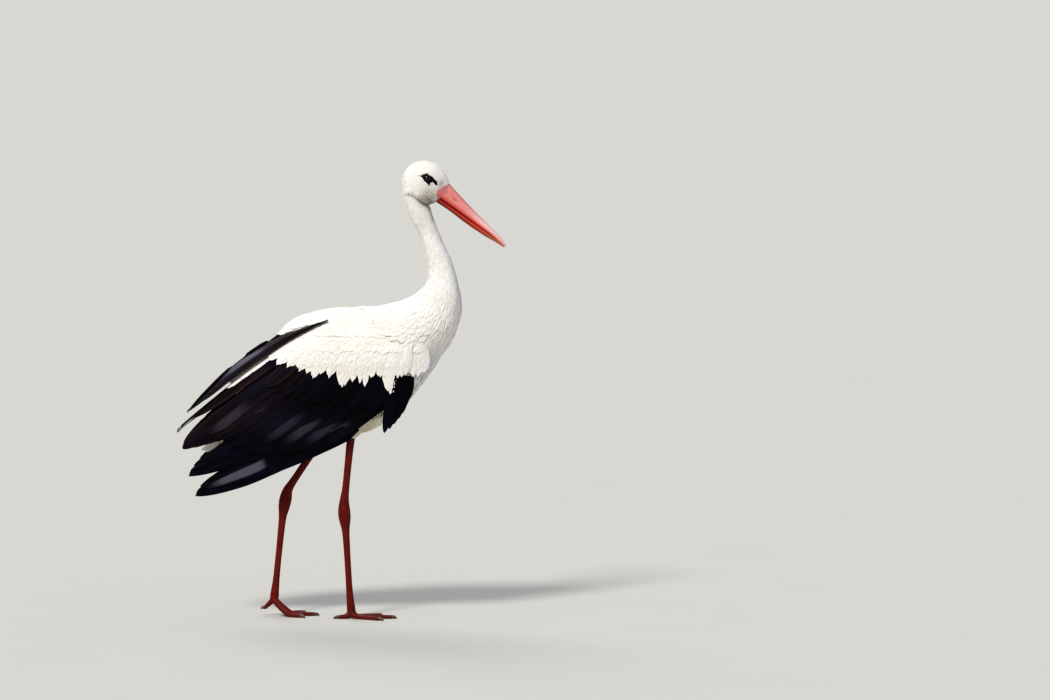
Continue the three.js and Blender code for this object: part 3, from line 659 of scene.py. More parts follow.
def drape(roots, flow, length, width, low, high, shape, columns, rng):
    """Vanes that start at the roots and follow the skin along the flow. low and high are heights of root and tip."""
    rows, widths = shape_rows(shape)
    surface = made["surface"]
    n = len(roots)
    place, normal = surface.nearest(roots)
    ahead = unit(flow - normal * (flow * normal).sum(-1, keepdims=True))
    u = np.linspace(-1, 1, columns)[None, :, None]
    points = np.empty((n, len(rows), columns, 3))
    for r, t in enumerate(rows):
        if r:
            place, normal = surface.nearest(place + ahead * (length * (t - rows[r - 1]))[:, None])
            ahead = unit(ahead - normal * (ahead * normal).sum(-1, keepdims=True))
        across = np.cross(normal, ahead)
        height = (low + (high - low) * t**0.75)[:, None]
        edge = height * 0.72  # the edges lie closer to the skin than the shaft
        half = (width * widths[r] / 2)[:, None]
        left, left_normal = surface.nearest(place + across * half)
        right, right_normal = surface.nearest(place - across * half)
        centre = place + normal * height
        left = left + left_normal * edge
        right = right + right_normal * edge
        points[:, r] = (centre[:, None] * (1 - u**2) + left[:, None] * (u**2 + u) / 2
                        + right[:, None] * (u**2 - u) / 2)
    fray = frayed(rng, n, columns, 0.04)
    points[:, -1] += ahead[:, None] * (fray * length[:, None])[..., None]
    points[:, -2] += ahead[:, None] * (fray * 0.35 * length[:, None])[..., None]
    return points, rows


def vane_tint(rng, roots, rows, columns, darker):
    """Colours of white vanes: darker at the root by a share, a painted shade under the row above, and each feather a
    little lighter or darker.
    """
    tint = white_tint(roots)[:, None, None] * (1 - darker + darker * rows)[None, :, None, None]
    return tint * rng.uniform(0.955, 1.03, (len(roots), 1, 1, 1)) * np.ones((1, 1, columns, 1))


PATCH_HALF, PATCH = 0.0014, 0.003  # half width and length of a feather's patch in the coat's map


def coat_mesh(name, vanes, tint, places, lay):
    """Joins vanes of one size, an array of feather, row, column, into a mesh with its map and vane directions."""
    n, rows, columns = vanes.shape[:3]
    quads = (grid_quads(rows, columns)[None] + (np.arange(n) * rows * columns)[:, None, None]).reshape(-1, 4)
    mesh = mesh_of(name, vanes.reshape(-1, 3), [quads])
    across = np.broadcast_to(np.linspace(-1, 1, columns)[None, None], (n, rows, columns))
    along = np.broadcast_to(np.asarray(lay)[None, :, None], (n, rows, columns))
    own = np.broadcast_to(((np.arange(n) * COAT_STEP) % 1)[:, None, None], (n, rows, columns))
    lay_vanes(mesh, np.stack([across, along, own], -1).reshape(-1, 3))
    paint(mesh, tint.reshape(-1, 3))
    patch = np.asarray(places)[:, None, None] + np.stack([across * PATCH_HALF, along * PATCH - PATCH / 2], -1)
    lay_patches(mesh, patch.reshape(-1, 2))
    return mesh


def thick_coat(name, feathers, material, nodes):
    """Joins feathers with two faces: outer and inner points, u, share, own number, two tones, place across the map."""
    parts, vanes, tints, places = [], [], [], []
    for outer, inner, u, share, own, tones, across in feathers:
        parts.append(sheet_grid(outer, inner))
        grid_u, grid_t, own = np.broadcast_arrays(u[None], share[:, None], own)
        vanes += [np.stack([grid_u, grid_t, own], -1).reshape(-1, 3)] * 2
        tints += [tone.reshape(-1, 3) for tone in tones]
        patch = np.stack([across + grid_u * PATCH_HALF, 0.5 + grid_t * PATCH], -1)
        places += [patch.reshape(-1, 2)] * 2
    mesh = mesh_of(name, *merged(parts))
    lay_vanes(mesh, np.concatenate(vanes))
    paint(mesh, np.concatenate(tints))
    lay_patches(mesh, np.concatenate(places))
    piece(mesh, [material], nodes)


def spaced(points, gaps):
    """Which points to keep so that none lies closer to an earlier one than its gap."""
    cell = 6.0
    around = list(itertools.product((-1, 0, 1), repeat=3))
    kept = {}
    keep = np.zeros(len(points), bool)
    for i, ((x, y, z), gap) in enumerate(zip(points.tolist(), gaps.tolist())):
        cx, cy, cz = int(x // cell), int(y // cell), int(z // cell)
        near = (p for dx, dy, dz in around for p in kept.get((cx + dx, cy + dy, cz + dz), ()))
        if all((a - x) ** 2 + (b - y) ** 2 + (c - z) ** 2 >= gap * gap for a, b, c in near):
            kept.setdefault((cx, cy, cz), []).append((x, y, z))
            keep[i] = True
    return keep


# Loose feathers of cheek, gape and nape: x, z, reach along, reach across, lean in radians.
JOWL = [(166, 853, 18, 5.5, -0.45), (187, 846, 6, 4.5, -0.5), (141, 866, 9, 3.5, 0.1)]
# Where the white plumage is tinted, much of it painted shade: x, z, reach along, reach across, lean in degrees,
# colour, strength.
TINTS = [
    (168, 850, 19, 8, -24, "beige_shade", 0.75),    # painted shade on the cheek over the throat fold
    (187, 834, 13, 6, -28, "painted_shadow", 0.75),     # painted shadow below the chin
    # painted shadow along the throat fold
    (167, 841, 20, 3.4, -32, "painted_shadow", 0.85),
    # the tuft at the gape
    (189, 846, 4.5, 3.5, -20, "cream", 0.8),
    # painted shade in spots on the cheek
    (176, 857, 5, 2.2, -30, "painted_shadow", 0.22),
    (162, 855, 5, 2.2, -20, "painted_shadow", 0.22),
    (168, 864, 7, 2.0, -25, "painted_shadow", 0.16),
    (140, 861, 10, 3, 10, "cream", 0.95),     # painted shade in the crease behind the cheek
    # more painted shade in spots on the cheek
    (150, 868, 6, 4, -30, "cream", 0.6),
    (182, 859, 9, 5, -40, "cream", 0.7),
    (203, 871, 5, 8, -40, "grey", 0.6),       # painted shade between eye and bill
    (66, 398, 34, 36, 35, "buff", 0.75),      # belly beside the wing
    (60, 574, 95, 5, 3, "cream", 0.45),       # painted shadow lines under the folds of the shoulder
    (40, 541, 80, 5, 0, "cream", 0.35),
    (-30, 590, 50, 6, -4, "cream", 0.25),
    (207, 757, 9, 55, 21, "blue", 0.5),       # painted bluish shade on the front of the neck
    (232, 690, 12, 45, 10, "blue", 0.3),
    (190, 536, 17, 48, -20, "blue", 0.35),    # painted bluish shade on the breast beside the shoulder
]


def white_tint(p):
    """Colour of skin and white feathers at points of the bird, with painted shade in its folds and creases, on cheek,
    lores, neck and breast and under the chin, and a painted shadow where the skin shows between the wings.
    """
    c = colours()
    # The darkest brown, the beige tint and the grey are painted shade round chin, cheek and lores; the blue is painted
    # bluish shade on neck and breast.
    named = {"cream": c.cream, "buff": c.buff, "grey": (0.42, 0.41, 0.42), "painted_shadow": (0.17, 0.14, 0.09),
             "beige_shade": (0.42, 0.37, 0.28), "blue": (0.44, 0.47, 0.60)}
    x, y, z = p[..., 0], p[..., 1], p[..., 2]
    tint = np.broadcast_to(np.array(c.white), p.shape).copy()
    tint = blend_colour(tint, c.cream, 0.16 + 0.14 * ripple(p, 24) + 0.05 * ripple(p, 7, 2))
    tint = blend_colour(tint, c.cream, 0.35 * fade(-z, -470, -350))  # the belly
    for at_x, at_z, along, across, lean, name, strength in TINTS:
        spot = leaning_spot(p, at_x, at_z, along, across, math.radians(lean))
        tint = blend_colour(tint, named[name], strength * spot)
    # Painted shadow along the fold between cheek and throat.
    away, _ = line_distance(x, z, THROAT)
    fold = 0.6 * bell(away, 0, 5.0) * fade(z, 796, 812) * fade(x, 144, 172)
    tint = blend_colour(tint, named["painted_shadow"], fold)
    over_tail = z - np.interp(x, *np.array([TAIL["tip"], TAIL["root"]]).T)
    painted_cleft_shadow = fade(-x, 106, 116) * (1 - fade(np.abs(y), 12, 18)) * fade(over_tail, 20, 32)
    tint = blend_colour(tint, c.black, painted_cleft_shadow)  # painted shadow: black where the skin is seen between the folded wings
    red = blend_colour(np.array(c.bill_pale), [0.36, 0.20, 0.24], np.clip(0.4 + 0.7 * ripple(p, 3.0, 4), 0, 1))
    return np.where(inside_outline(x, z, GAPE_SKIN)[..., None], red, tint)


def is_bare(p):
    """True where no feather grows: on the black skin round the eye and the red skin behind the bill."""
    x, z = p[..., 0], p[..., 2]
    return inside_outline(x, z, BARE_SKIN) | inside_outline(x - 3, z, BARE_SKIN) | inside_outline(x, z, GAPE_SKIN)


# ---- Materials ----------------------------------------------------------------------------------

def new_material(name, roughness, **sockets):
    material = bpy.data.materials.new(name)
    material.use_nodes = True
    tree = material.node_tree
    shader = tree.nodes["Principled BSDF"]
    shader.inputs["Roughness"].default_value = roughness
    for socket, value in sockets.items():
        shader.inputs[socket.replace("_", " ")].default_value = value
    return material, tree, shader


def add(tree, kind, **settings):
    """Adds a node. A setting in_NAME is for an input: a value, an output to link or a node, for its first output."""
    node = tree.nodes.new("ShaderNode" + kind)
    for key, value in settings.items():
        if not key.startswith("in_"):
            setattr(node, key, value)
            continue
        slot = key[3:]
        socket = node.inputs[int(slot) if slot.isdigit() else slot.replace("_", " ")]
        if isinstance(value, bpy.types.Node):
            value = value.outputs[0]
        if isinstance(value, bpy.types.NodeSocket):
            tree.links.new(value, socket)
        else:
            socket.default_value = value
    return node


def varied_colour(tree, source, factor, low, high):
    """Multiplies a colour by a grey between low and high, as the factor goes from 0 to 1."""
    span = add(tree, "MapRange", in_Value=factor, in_From_Min=0.25, in_From_Max=0.75, in_To_Min=low, in_To_Max=high)
    grey = add(tree, "CombineColor", in_0=span, in_1=span, in_2=span)
    mixer = add(tree, "Mix", data_type="RGBA", blend_type="MULTIPLY", in_0=1.0, in_6=source, in_7=grey)
    return mixer.outputs[2]


def feather_material(name, roughness, barbs, bump, sheen, sheen_tint, contrast, gloss):
    """Feather vanes: barbs run out slantwise from the shaft, and the tint comes from the coat's own colours."""
    material, tree, shader = new_material(name, roughness, Sheen_Weight=sheen, Sheen_Roughness=0.4,
                                          Sheen_Tint=(*sheen_tint, 1), Specular_IOR_Level=gloss)
    vane = add(tree, "Attribute", attribute_name="vane")
    across, along, own = add(tree, "SeparateXYZ", in_0=vane.outputs["Vector"]).outputs
    out = add(tree, "Math", operation="ABSOLUTE", in_0=across)
    slant = add(tree, "Math", operation="MULTIPLY_ADD", in_0=out, in_1=-0.35, in_2=along)
    run = add(tree, "Math", operation="MULTIPLY", in_0=slant, in_1=barbs)
    spread = add(tree, "Math", operation="MULTIPLY", in_0=across, in_1=1.6)
    number = add(tree, "Math", operation="MULTIPLY", in_0=own, in_1=71.0)
    place = add(tree, "CombineXYZ", in_0=run, in_1=spread, in_2=number)
    barb = add(tree, "TexNoise", in_Vector=place, in_Scale=1.0, in_Detail=3.0, in_Roughness=0.6)
    soft = add(tree, "TexNoise", in_Scale=38.0, in_Detail=2.0)
    push = add(tree, "Bump", in_Strength=bump, in_Distance=0.0006, in_Height=barb)
    tint = add(tree, "Attribute", attribute_name="tint")
    fine = varied_colour(tree, tint, barb, 1 - contrast, 1 + contrast * 0.4)
    tree.links.new(push.outputs[0], shader.inputs["Normal"])
    tree.links.new(varied_colour(tree, fine, soft, 0.95, 1.04), shader.inputs["Base Color"])
    return material


def tinted_material(name, roughness, grain, bump, distance, contrast, stretch=(1, 1, 1), **sockets):
    """Skin or horn: its own tint, fine grain and a small bump."""
    material, tree, shader = new_material(name, roughness, **sockets)
    where = add(tree, "TexCoord")
    mapping = add(tree, "Mapping", in_0=where.outputs["Object"], in_Scale=stretch)
    fine = add(tree, "TexNoise", in_Vector=mapping, in_Scale=grain, in_Detail=5.0, in_Roughness=0.6)
    broad = add(tree, "TexNoise", in_Vector=mapping, in_Scale=grain / 7, in_Detail=2.0)
    push = add(tree, "Bump", in_Strength=bump, in_Distance=distance, in_Height=fine)
    gloss = add(tree, "MapRange", in_Value=fine, in_From_Min=0.3, in_From_Max=0.7, in_To_Min=roughness * 0.8,
                in_To_Max=min(1, roughness * 1.25))
    tint = add(tree, "Attribute", attribute_name="tint")
    first = varied_colour(tree, tint, fine, 1 - contrast, 1 + contrast * 0.5)
    second = varied_colour(tree, first, broad, 1 - contrast * 0.6, 1 + contrast * 0.4)
    tree.links.new(push.outputs[0], shader.inputs["Normal"])
    tree.links.new(gloss.outputs[0], shader.inputs["Roughness"])
    tree.links.new(second, shader.inputs["Base Color"])
    return material


def white_vanes():
    if "white_vanes" not in made:
        made["white_vanes"] = feather_material("white_plumage", 0.78, 26.0, 0.35, 0.35, (1, 0.98, 0.95), 0.10, 0.25)
    return made["white_vanes"]


def black_vanes():
    if "black_vanes" not in made:
        made["black_vanes"] = feather_material("black_plumage", 0.5, 90.0, 0.45, 0.008, (0.5, 0.45, 0.9), 0.35, 0.04)
    return made["black_vanes"]


# ---- Operators ----------------------------------------------------------------------------------

class STORK_OT_skin(bpy.types.Operator):
    """Grow one skin over body, neck, head and thighs, with scaly legs and feet and bare skin round the eyes"""
    bl_idname = "stork.skin"
    bl_label = "Skin"

    def execute(self, context):
        deep = sizes().coat_depth / COAT_DEPTH
        ribs = np.linspace(0, len(BODY_RIBS) - 1, 230)[:, None]
        forms = [closed_loft(body_point(ribs, turns(84), deep * coat_at(ribs, DEPTH)))]
        for name, side in SIDES.items():
            thigh = tube(LEGS[name]["thigh"], THIGH_ROWS, 48, side, grow=-THIGH_DEPTH * deep, flat=THIGH_FLAT)
            forms += [closed_loft(thigh), wing_core(side)]
        points, quads = fused(forms, sizes().skin_grain, 10)
        points = self.model_head(points, quads)
        made["surface"] = Surface(points, quads)

        legs = [self.scaly_leg(name, side) for name, side in SIDES.items()]
        lids = [self.lids(side) for side in SIDES.values()]
        mesh = mesh_of("skin", *merged([(points, [quads])] + legs + lids))
        tones = [white_tint(points)] + [self.leg_tint(leg_points) for leg_points, _ in legs]
        tones += [np.tile(colours().bare, (len(lid_points), 1)) for lid_points, _ in lids]
        paint(mesh, np.concatenate(tones))
        faces_of = [len(quads)] + [sum(len(faces) for _, (faces,) in forms) for forms in (legs, lids)]
        mesh.polygons.foreach_set("material_index", np.repeat([0, 1, 2], faces_of).astype(np.int32))
        down = tinted_material("downy_skin", 0.85, 260, 0.4, 0.0008, 0.08)
        scales = tinted_material("leg_scales", 0.5, 900, 0.3, 0.0003, 0.22, Specular_IOR_Level=0.14)
        bare = tinted_material("bare_skin", 0.6, 900, 0.4, 0.0004, 0.2, Specular_IOR_Level=0.1)
        nodes = ["head", "neck_upper", "neck_lower", "trunk"]
        nodes += [f"{part}_{name}" for name in SIDES for part in ("thigh", "tibia", "tarsus", "foot")]
        piece(mesh, [down, scales, bare], nodes)
        return {"FINISHED"}

    @staticmethod
    def model_head(points, quads):
        """The folds of cheek and nape, the brow, and the sockets of the eyes."""
        normals = point_normals(points, quads)
        x, z = points[:, 0], points[:, 2]
        away, side = line_distance(x, z, HEAD_FOLDS["cheek"][0])
        push = np.where(side > 0, 1.7, -0.3) * bell(away, 5, 5.0)
        for line, height, reach in HEAD_FOLDS.values():
            away, _ = line_distance(x, z, line)
            push += height * bell(away, 0, reach)
        from_eye = np.hypot(x - EYE_CENTRE[0], z - EYE_CENTRE[2])
        push += 0.7 * bell(from_eye, 9, 3.0) - 4.0 * (1 - fade(from_eye, 4.5, 7.5))
        push += 0.35 * ripple(points, 9, 3)
        on_head = fade(z, 790, 806)
        points = points + normals * (push * on_head)[:, None]
        wave = ripple(points, 30, 1) * 1.3 + ripple(points, 13, 5) * 0.6
        on_body = (1 - on_head) * fade(z, 380, 420)
        return points + normals * (wave * on_body)[:, None]

    @classmethod
    def scaly_leg(cls, name, side):
        """One leg from under the thigh feathers to the toes, with plates on the shank and bands on the toes."""
        leg = LEGS[name]
        toes = [np.array(toe_line(leg, angle, length)) for angle, length in TOES.values()]
        inner, middle, outer, _ = (angle for angle, _ in TOES.values())
        forms = [closed_loft(tube(leg["shank"], 150, 40, side, flat=0.82))]
        forms += [closed_loft(tube(line, 50, 28, side, ref=(0, 0, 1), floor=0.0)) for line in toes]
        forms += [web_form(leg, inner, middle, side), web_form(leg, middle, outer, side)]
        points, quads = fused(forms, sizes().leg_grain, 5)
        normals = point_normals(points, quads)
        x, y, z = points.T
        over_floor = fade(z, 0.6, 2.5)
        foot_top = leg["knuckle"][2] + 14
        on_foot = 1 - fade(z, foot_top, foot_top + 12)

        stations = even_spline(leg["shank"], 200)[::-1]
        centre_x, centre_y = (np.interp(z, stations[:, 2], stations[:, k]) for k in (0, 1))
        turn = np.arctan2(y - centre_y * side, x - centre_x)
        plates = cls.plates(turn * PLATES_ROUND / (2 * np.pi), z / PLATE_HEIGHT)
        pads = np.zeros(len(points))
        for line in toes:
            root, tip = line[0, :2] * [1, side], line[-1, :2] * [1, side]
            ahead = (tip - root) / np.linalg.norm(tip - root)
            along = (points[:, :2] - root) @ ahead
            off = np.abs((points[:, :2] - root) @ np.array([-ahead[1], ahead[0]]))
            on_toe = np.exp(-(off / 5.5) ** 4) * fade(along, 2, 8)
            band = 0.5 * np.abs(np.sin(np.pi * along / TOE_BAND)) ** 0.35 * fade(normals[:, 2], -0.1, 0.4)
            pad = 0.35 * np.sin(np.pi * along / TOE_PAD) ** 2 * fade(-normals[:, 2], -0.3, 0.3)
            pads = np.maximum(pads, on_toe * (band + pad))
        lift = 0.42 * plates * (1 - on_foot) + (0.9 * pads + 0.12 * plates) * on_foot
        points = points + normals * ((lift - 0.3) * over_floor)[:, None]
        points[:, 2] = np.maximum(points[:, 2], 0.0)
        return points, [quads]

    @staticmethod
    def plates(u, v):
        """Height of six-sided plates that fit together, with grooves between them."""
        nearest = np.full(len(u), 9.0)
        second = nearest.copy()
        for step in (-1, 0, 1):
            row = np.floor(v) + step
            shift = 0.5 * (row % 2)
            for column in (np.floor(u - shift), np.floor(u - shift) + 1):
                wrapped = column % PLATES_ROUND
                middle_u = column + shift + 0.16 * np.sin(row * 12.9 + wrapped * 78.2)
                middle_v = row + 0.5 + 0.13 * np.sin(row * 39.4 + wrapped * 11.1)
                far = np.hypot(u - middle_u, v - middle_v)
                second = np.minimum(second, np.maximum(nearest, far))
                nearest = np.minimum(nearest, far)
        return fade(second - nearest, 0.0, 0.3)

    @staticmethod
    def leg_tint(points):
        """Deep red, paler and darker in blots, and browner at the foot."""
        c = np.array(colours().leg)
        tint = np.broadcast_to(c, points.shape)
        tint = blend_colour(tint, c * [1.7, 2.2, 2.2], np.clip(0.25 * ripple(points, 30) + 0.12, 0, 1))
        tint = blend_colour(tint, c * [0.45, 0.5, 0.6], np.clip(0.35 * ripple(points, 11, 4), 0, 1))
        return blend_colour(tint, c * [0.62, 0.9, 1.1], 0.5 * (1 - fade(points[:, 2], 6, 40)))

    @staticmethod
    def lids(side):
        """Lids that close on the eyeball, and the bare skin round them."""
        cx, cy, cz = EYE_CENTRE
        steps, slant = 112, math.radians(-24)
        turn = turns(steps) - np.pi
        outline = even_spline(np.vstack([BARE_SKIN, BARE_SKIN[:1]]), 500) - [cx, cz]
        seen = np.arctan2(outline[:, 1], outline[:, 0])
        order = np.argsort(seen)
        reach = np.interp(turn, seen[order], np.hypot(*outline[order].T), period=2 * np.pi)
        slit = sizes().eye_opening / MM * (1 - 0.17 * np.sin(turn - slant) ** 2)
        whole = np.maximum(reach, slit + 2.0) + 0.6 - slit
        rings = []
        for share in (-0.5, 0.0, *np.linspace(0.06, 1, 14) ** 1.15):  # the first ring is tucked in behind the lid
            out = max(share, 0)
            past = whole * out + min(share, 0) * 0.8
            radius = slit + past
            x, z = cx + radius * np.cos(turn), cz + radius * np.sin(turn)
            y = cy + np.sqrt(np.maximum(EYE_RADIUS**2 - radius**2, 0.5)) - 0.9
            if share >= 0:
                rim = 0.85 * np.sin(np.clip(past / 2.4, 0, 1) * np.pi * 0.72)
                lid = y + 0.9 + 0.25 + rim - 0.55 * np.maximum(past - 2.2, 0)
                skin = made["surface"].side_height(x, z, side)
                skin = np.where(np.isnan(skin), cy, skin) + 0.4 * (1 - out**3) - 0.25 * out**6
                folds = 0.22 * np.sin(past * 3.2) * np.exp(-past / 5.0) * fade(past, 0.6, 1.6)
                y = np.maximum(skin, lid) + folds
            rings.append(np.stack([x, side * y, z], -1))
        return np.concatenate(rings), [ring_quads(len(rings), steps)]


class STORK_OT_bill(bpy.types.Operator):
    """Make the upper and lower bill, with their mouth line, nostrils and grain"""
    bl_idname = "stork.bill"
    bl_label = "Bill"

    def execute(self, context):
        horn = tinted_material("bill_horn", 0.4, 420, 0.25, 0.0004, 0.14, stretch=(0.55, 1, 0.55),
                               Specular_IOR_Level=0.3, Coat_Weight=0.06, Coat_Roughness=0.25)
        for name, ribs, upper in (("bill_upper", UPPER_BILL, True), ("bill_lower", LOWER_BILL, False)):
            points, faces, tint = self.half(ribs, upper)
            mesh = mesh_of(name, points, faces)
            paint(mesh, tint)
            piece(mesh, [horn], [name])
        return {"FINISHED"}

    @classmethod
    def half(cls, ribs, upper):
        """Points, faces and colours of the upper or the lower bill."""
        rows, sides, waist = 190, 72, 0.16
        first = ribs[0] - (ribs[1] - ribs[0]) * 0.22
        first[4] = ribs[0][4] * 0.9
        at = np.concatenate([np.linspace(0, 5.2, rows - 30), 6 - (1 - np.linspace(0, 1, 31)[1:]) ** 1.6 * 0.8])
        row = spline(np.vstack([first, ribs]), at)
        outer, mouth = (row[:, 0:2], row[:, 2:4]) if upper else (row[:, 2:4], row[:, 0:2])
        mouth = mouth + unit(mouth - outer) * 0.5
        middle = mouth + (outer - mouth) * waist
        height, wide = np.sin(turns(sides)), np.cos(turns(sides))
        lift = np.abs(height)[:, None]
        edge = np.where((height > 0)[:, None], outer[:, None], mouth[:, None])
        flat = middle[:, None] * (1 - lift) + edge * lift
        half = row[:, 4][:, None] * np.sign(wide) * np.abs(wide) ** (0.86 if upper else 0.8)
        rings = np.stack([flat[..., 0], half, flat[..., 1]], -1)

        share = np.broadcast_to(np.clip(at / 6, 0, 1)[:, None], rings.shape[:2])
        level = np.where(height > 0, waist + (1 - waist) * height, waist * (1 + height))
        level = np.broadcast_to(level, rings.shape[:2])  # 0 at the mouth line, 1 at the outer edge
        if upper:
            nostril = np.exp(-((share - 0.285) / 0.04) ** 4 - ((level - 0.60 + 0.5 * (share - 0.28)) / 0.03) ** 2)
            groove = bell(level, 0.56, 0.06) * fade(share, 0.2, 0.3) * (1 - fade(share, 0.45, 0.7))
            deep = 2.4 * nostril + 0.5 * groove
        else:
            nostril = np.zeros(share.shape)
            deep = 0.45 * (bell(level, 0.42, 0.07) * fade(share, 0.12, 0.2) * (1 - fade(share, 0.8, 0.95)))
        out = unit(rings - rings.mean(1, keepdims=True))
        rings = rings - out * deep[..., None]
        along = np.stack([share * 40, level * 14, np.sign(rings[..., 1]) * 3], -1)
        rings = rings + out * (0.10 * ripple(along, 1.2) + 0.08 * ripple(along, 0.4, 2))[..., None]
        tint = cls.horn_tint(rings, share, level, nostril, upper)
        tint = np.concatenate([tint.reshape(-1, 3), tint[0].mean(0)[None], tint[-1].mean(0)[None]])
        return *closed_loft(rings), tint

    @staticmethod
    def horn_tint(rings, share, level, nostril, upper):
        c = colours()
        red, pale = np.array(c.bill), np.array(c.bill_pale)
        past_base = fade(share, 0.3, 0.6)
        if upper:
            blot = np.clip(0.5 + 0.8 * ripple(rings, 5.5, 2) + 0.4 * ripple(rings, 2.4, 7), 0, 1)
            # Upper bill: its pale pink, lightest toward the ridge and the tip, is partly a painted highlight on its
            # top; near the base the lighter pink also makes the bill's own blots.
            light = blend_colour(np.array([0.76, 0.31, 0.31]), [0.84, 0.56, 0.55], fade(share, 0.3, 0.75))
            tint = blend_colour(pale, light, fade(level, 0.28, 0.6) * (0.45 + 0.55 * past_base))
            layers = [
                (light, 0.5 * blot * (1 - past_base)),
                (red * [1.45, 3.2, 3.4], 0.9 * (1 - fade(level, 0.10, 0.42 - 0.12 * share))),
                ([0.34, 0.09, 0.10], 0.6 * fade(level, 0.86, 1.0)),
                ([0.34, 0.16, 0.19], 0.75 * (1 - fade(share, 0.14, 0.24)) * (1 - blot)),
                # painted shade in the nostril slits
                ([0.16, 0.03, 0.03], 0.7 * nostril),
                ([0.60, 0.34, 0.22], 0.75 * fade(share, 0.74, 0.98)),
            ]
        else:
            tint = np.broadcast_to(red, rings.shape)
            layers = [
                # painted highlight: a lighter band along the side of the lower bill
                (red * [1.75, 7.0, 5.0], 0.8 * bell(level, 0.36, 0.15) * fade(share, 0.1, 0.45)),
                # painted shade: darker toward the underside, near the base
                ([0.09, 0.020, 0.008], 0.9 * fade(level, 0.45, 0.9) * (1 - fade(share, 0.25, 0.7))),
                ([0.16, 0.012, 0.008], 0.4 * (1 - fade(share, 0.12, 0.3))),
                ([0.42, 0.19, 0.10], 0.7 * fade(share, 0.5, 0.9)),
            ]
        for tone, strength in layers:
            tint = blend_colour(tint, tone, strength)
        streak = 0.5 + 0.5 * ripple(np.stack([share * 9, level * 22, share * 0], -1), 1.0, 4)
        tint = tint * (0.86 + 0.2 * streak)[..., None]
        # painted shade along the mouth line between the two halves
        return blend_colour(tint, [0.13, 0.014, 0.010], 0.6 * (1 - fade(level, 0.0, 0.04)))


class STORK_OT_eyes(bpy.types.Operator):
    """Set the eyeballs, with pupil, iris and a clear wet front"""
    bl_idname = "stork.eyes"
    bl_label = "Eyes"

    def execute(self, context):
        material, tree, shader = new_material("eyeball", 0.12, Coat_Weight=0.15, Coat_Roughness=0.03,
                                              Specular_IOR_Level=0.25)
        tint = add(tree, "Attribute", attribute_name="tint")
        grain = add(tree, "TexNoise", in_Scale=1500.0, in_Detail=3.0)
        tree.links.new(varied_colour(tree, tint, grain, 0.75, 1.2), shader.inputs["Base Color"])
        sides = 64
        turn = turns(sides)
        lean = np.linspace(0.0, np.pi, 60)[1:-1, None]
        radius = EYE_RADIUS + 0.55 * bell(lean, 0, 0.42)
        ends = [0, 0]
        across = np.append(np.repeat(np.sin(lean) * EYE_RADIUS, sides), ends)
        spoke = np.append(0.5 + 0.5 * np.sin(turn * 23 + lean * 30), ends)
        iris = np.array(colours().iris)
        pupil, rim = [0.002, 0.002, 0.002], [0.006, 0.004, 0.004]
        tone = blend_colour(iris, iris * 1.9, 0.6 * spoke)
        tone = blend_colour(pupil, tone, fade(across, PUPIL_RADIUS - 0.15, PUPIL_RADIUS + 0.15))
        tone = blend_colour(tone, rim, fade(across, IRIS_RADIUS - 0.3, IRIS_RADIUS + 0.3))
        for name, side in SIDES.items():
            forward = unit(np.array([0.16, side, -0.02]))
            right = unit(np.cross(forward, [0, 0, 1]))
            up = np.cross(right, forward)
            flat, out = (radius * np.sin(lean))[..., None], (radius * np.cos(lean))[..., None]
            rings = (np.array(EYE_CENTRE) * [1, side, 1] + out * forward + flat * np.cos(turn)[:, None] * right
                     + flat * np.sin(turn)[:, None] * up)
            mesh = mesh_of(f"eye_{name}", *closed_loft(rings))
            paint(mesh, tone)
            piece(mesh, [material], [f"eye_{name}"])
        return {"FINISHED"}


class STORK_OT_claws(bpy.types.Operator):
    """Make the eight claws, flat and blunt as on a wader's toes"""
    bl_idname = "stork.claws"
    bl_label = "Claws"

    def execute(self, context):
        horn = tinted_material("claw_horn", 0.4, 700, 0.3, 0.0003, 0.3, Coat_Weight=0.2, Coat_Roughness=0.3)
        rows, sides = 44, 28
        share = np.append(np.repeat(np.linspace(0, 1, rows), sides), [0, 1])
        c = np.array(colours().claw)
        pale = blend_colour(c, c * [2.2, 2.0, 1.8], 0.6 * fade(share, 0.55, 1))
        for (name, side), (toe, (angle, length)) in itertools.product(SIDES.items(), TOES.items()):
            line = np.array(toe_line(LEGS[name], angle, length))
            tip = line[-1, :3]
            ahead = unit(tip - line[-2, :3])
            height = tip[2]
            stations = [[*(tip[:2] + ahead[:2] * reach), z, radius] for reach, z, radius in (
                (-2.5, height + 0.9, 3.2), (0.6, height + 0.9, 3.3), (5.0, height + 0.8, 2.8),
                (8.6, max(1.6, height - 0.8), 1.7), (11.0, max(1.1, height - 2.4), 0.7))]
            points, faces = closed_loft(tube(stations, rows, sides, side, flat=1.12, ref=(0, 0, 1), floor=0.1))
            mesh = mesh_of(f"claw_{toe}_{name}", points, faces)
            paint(mesh, blend_colour(pale, c * 0.5, np.clip(0.5 * ripple(points, 1.4), 0, 1)))
            piece(mesh, [horn], [f"claw_{toe}_{name}"])
        return {"FINISHED"}


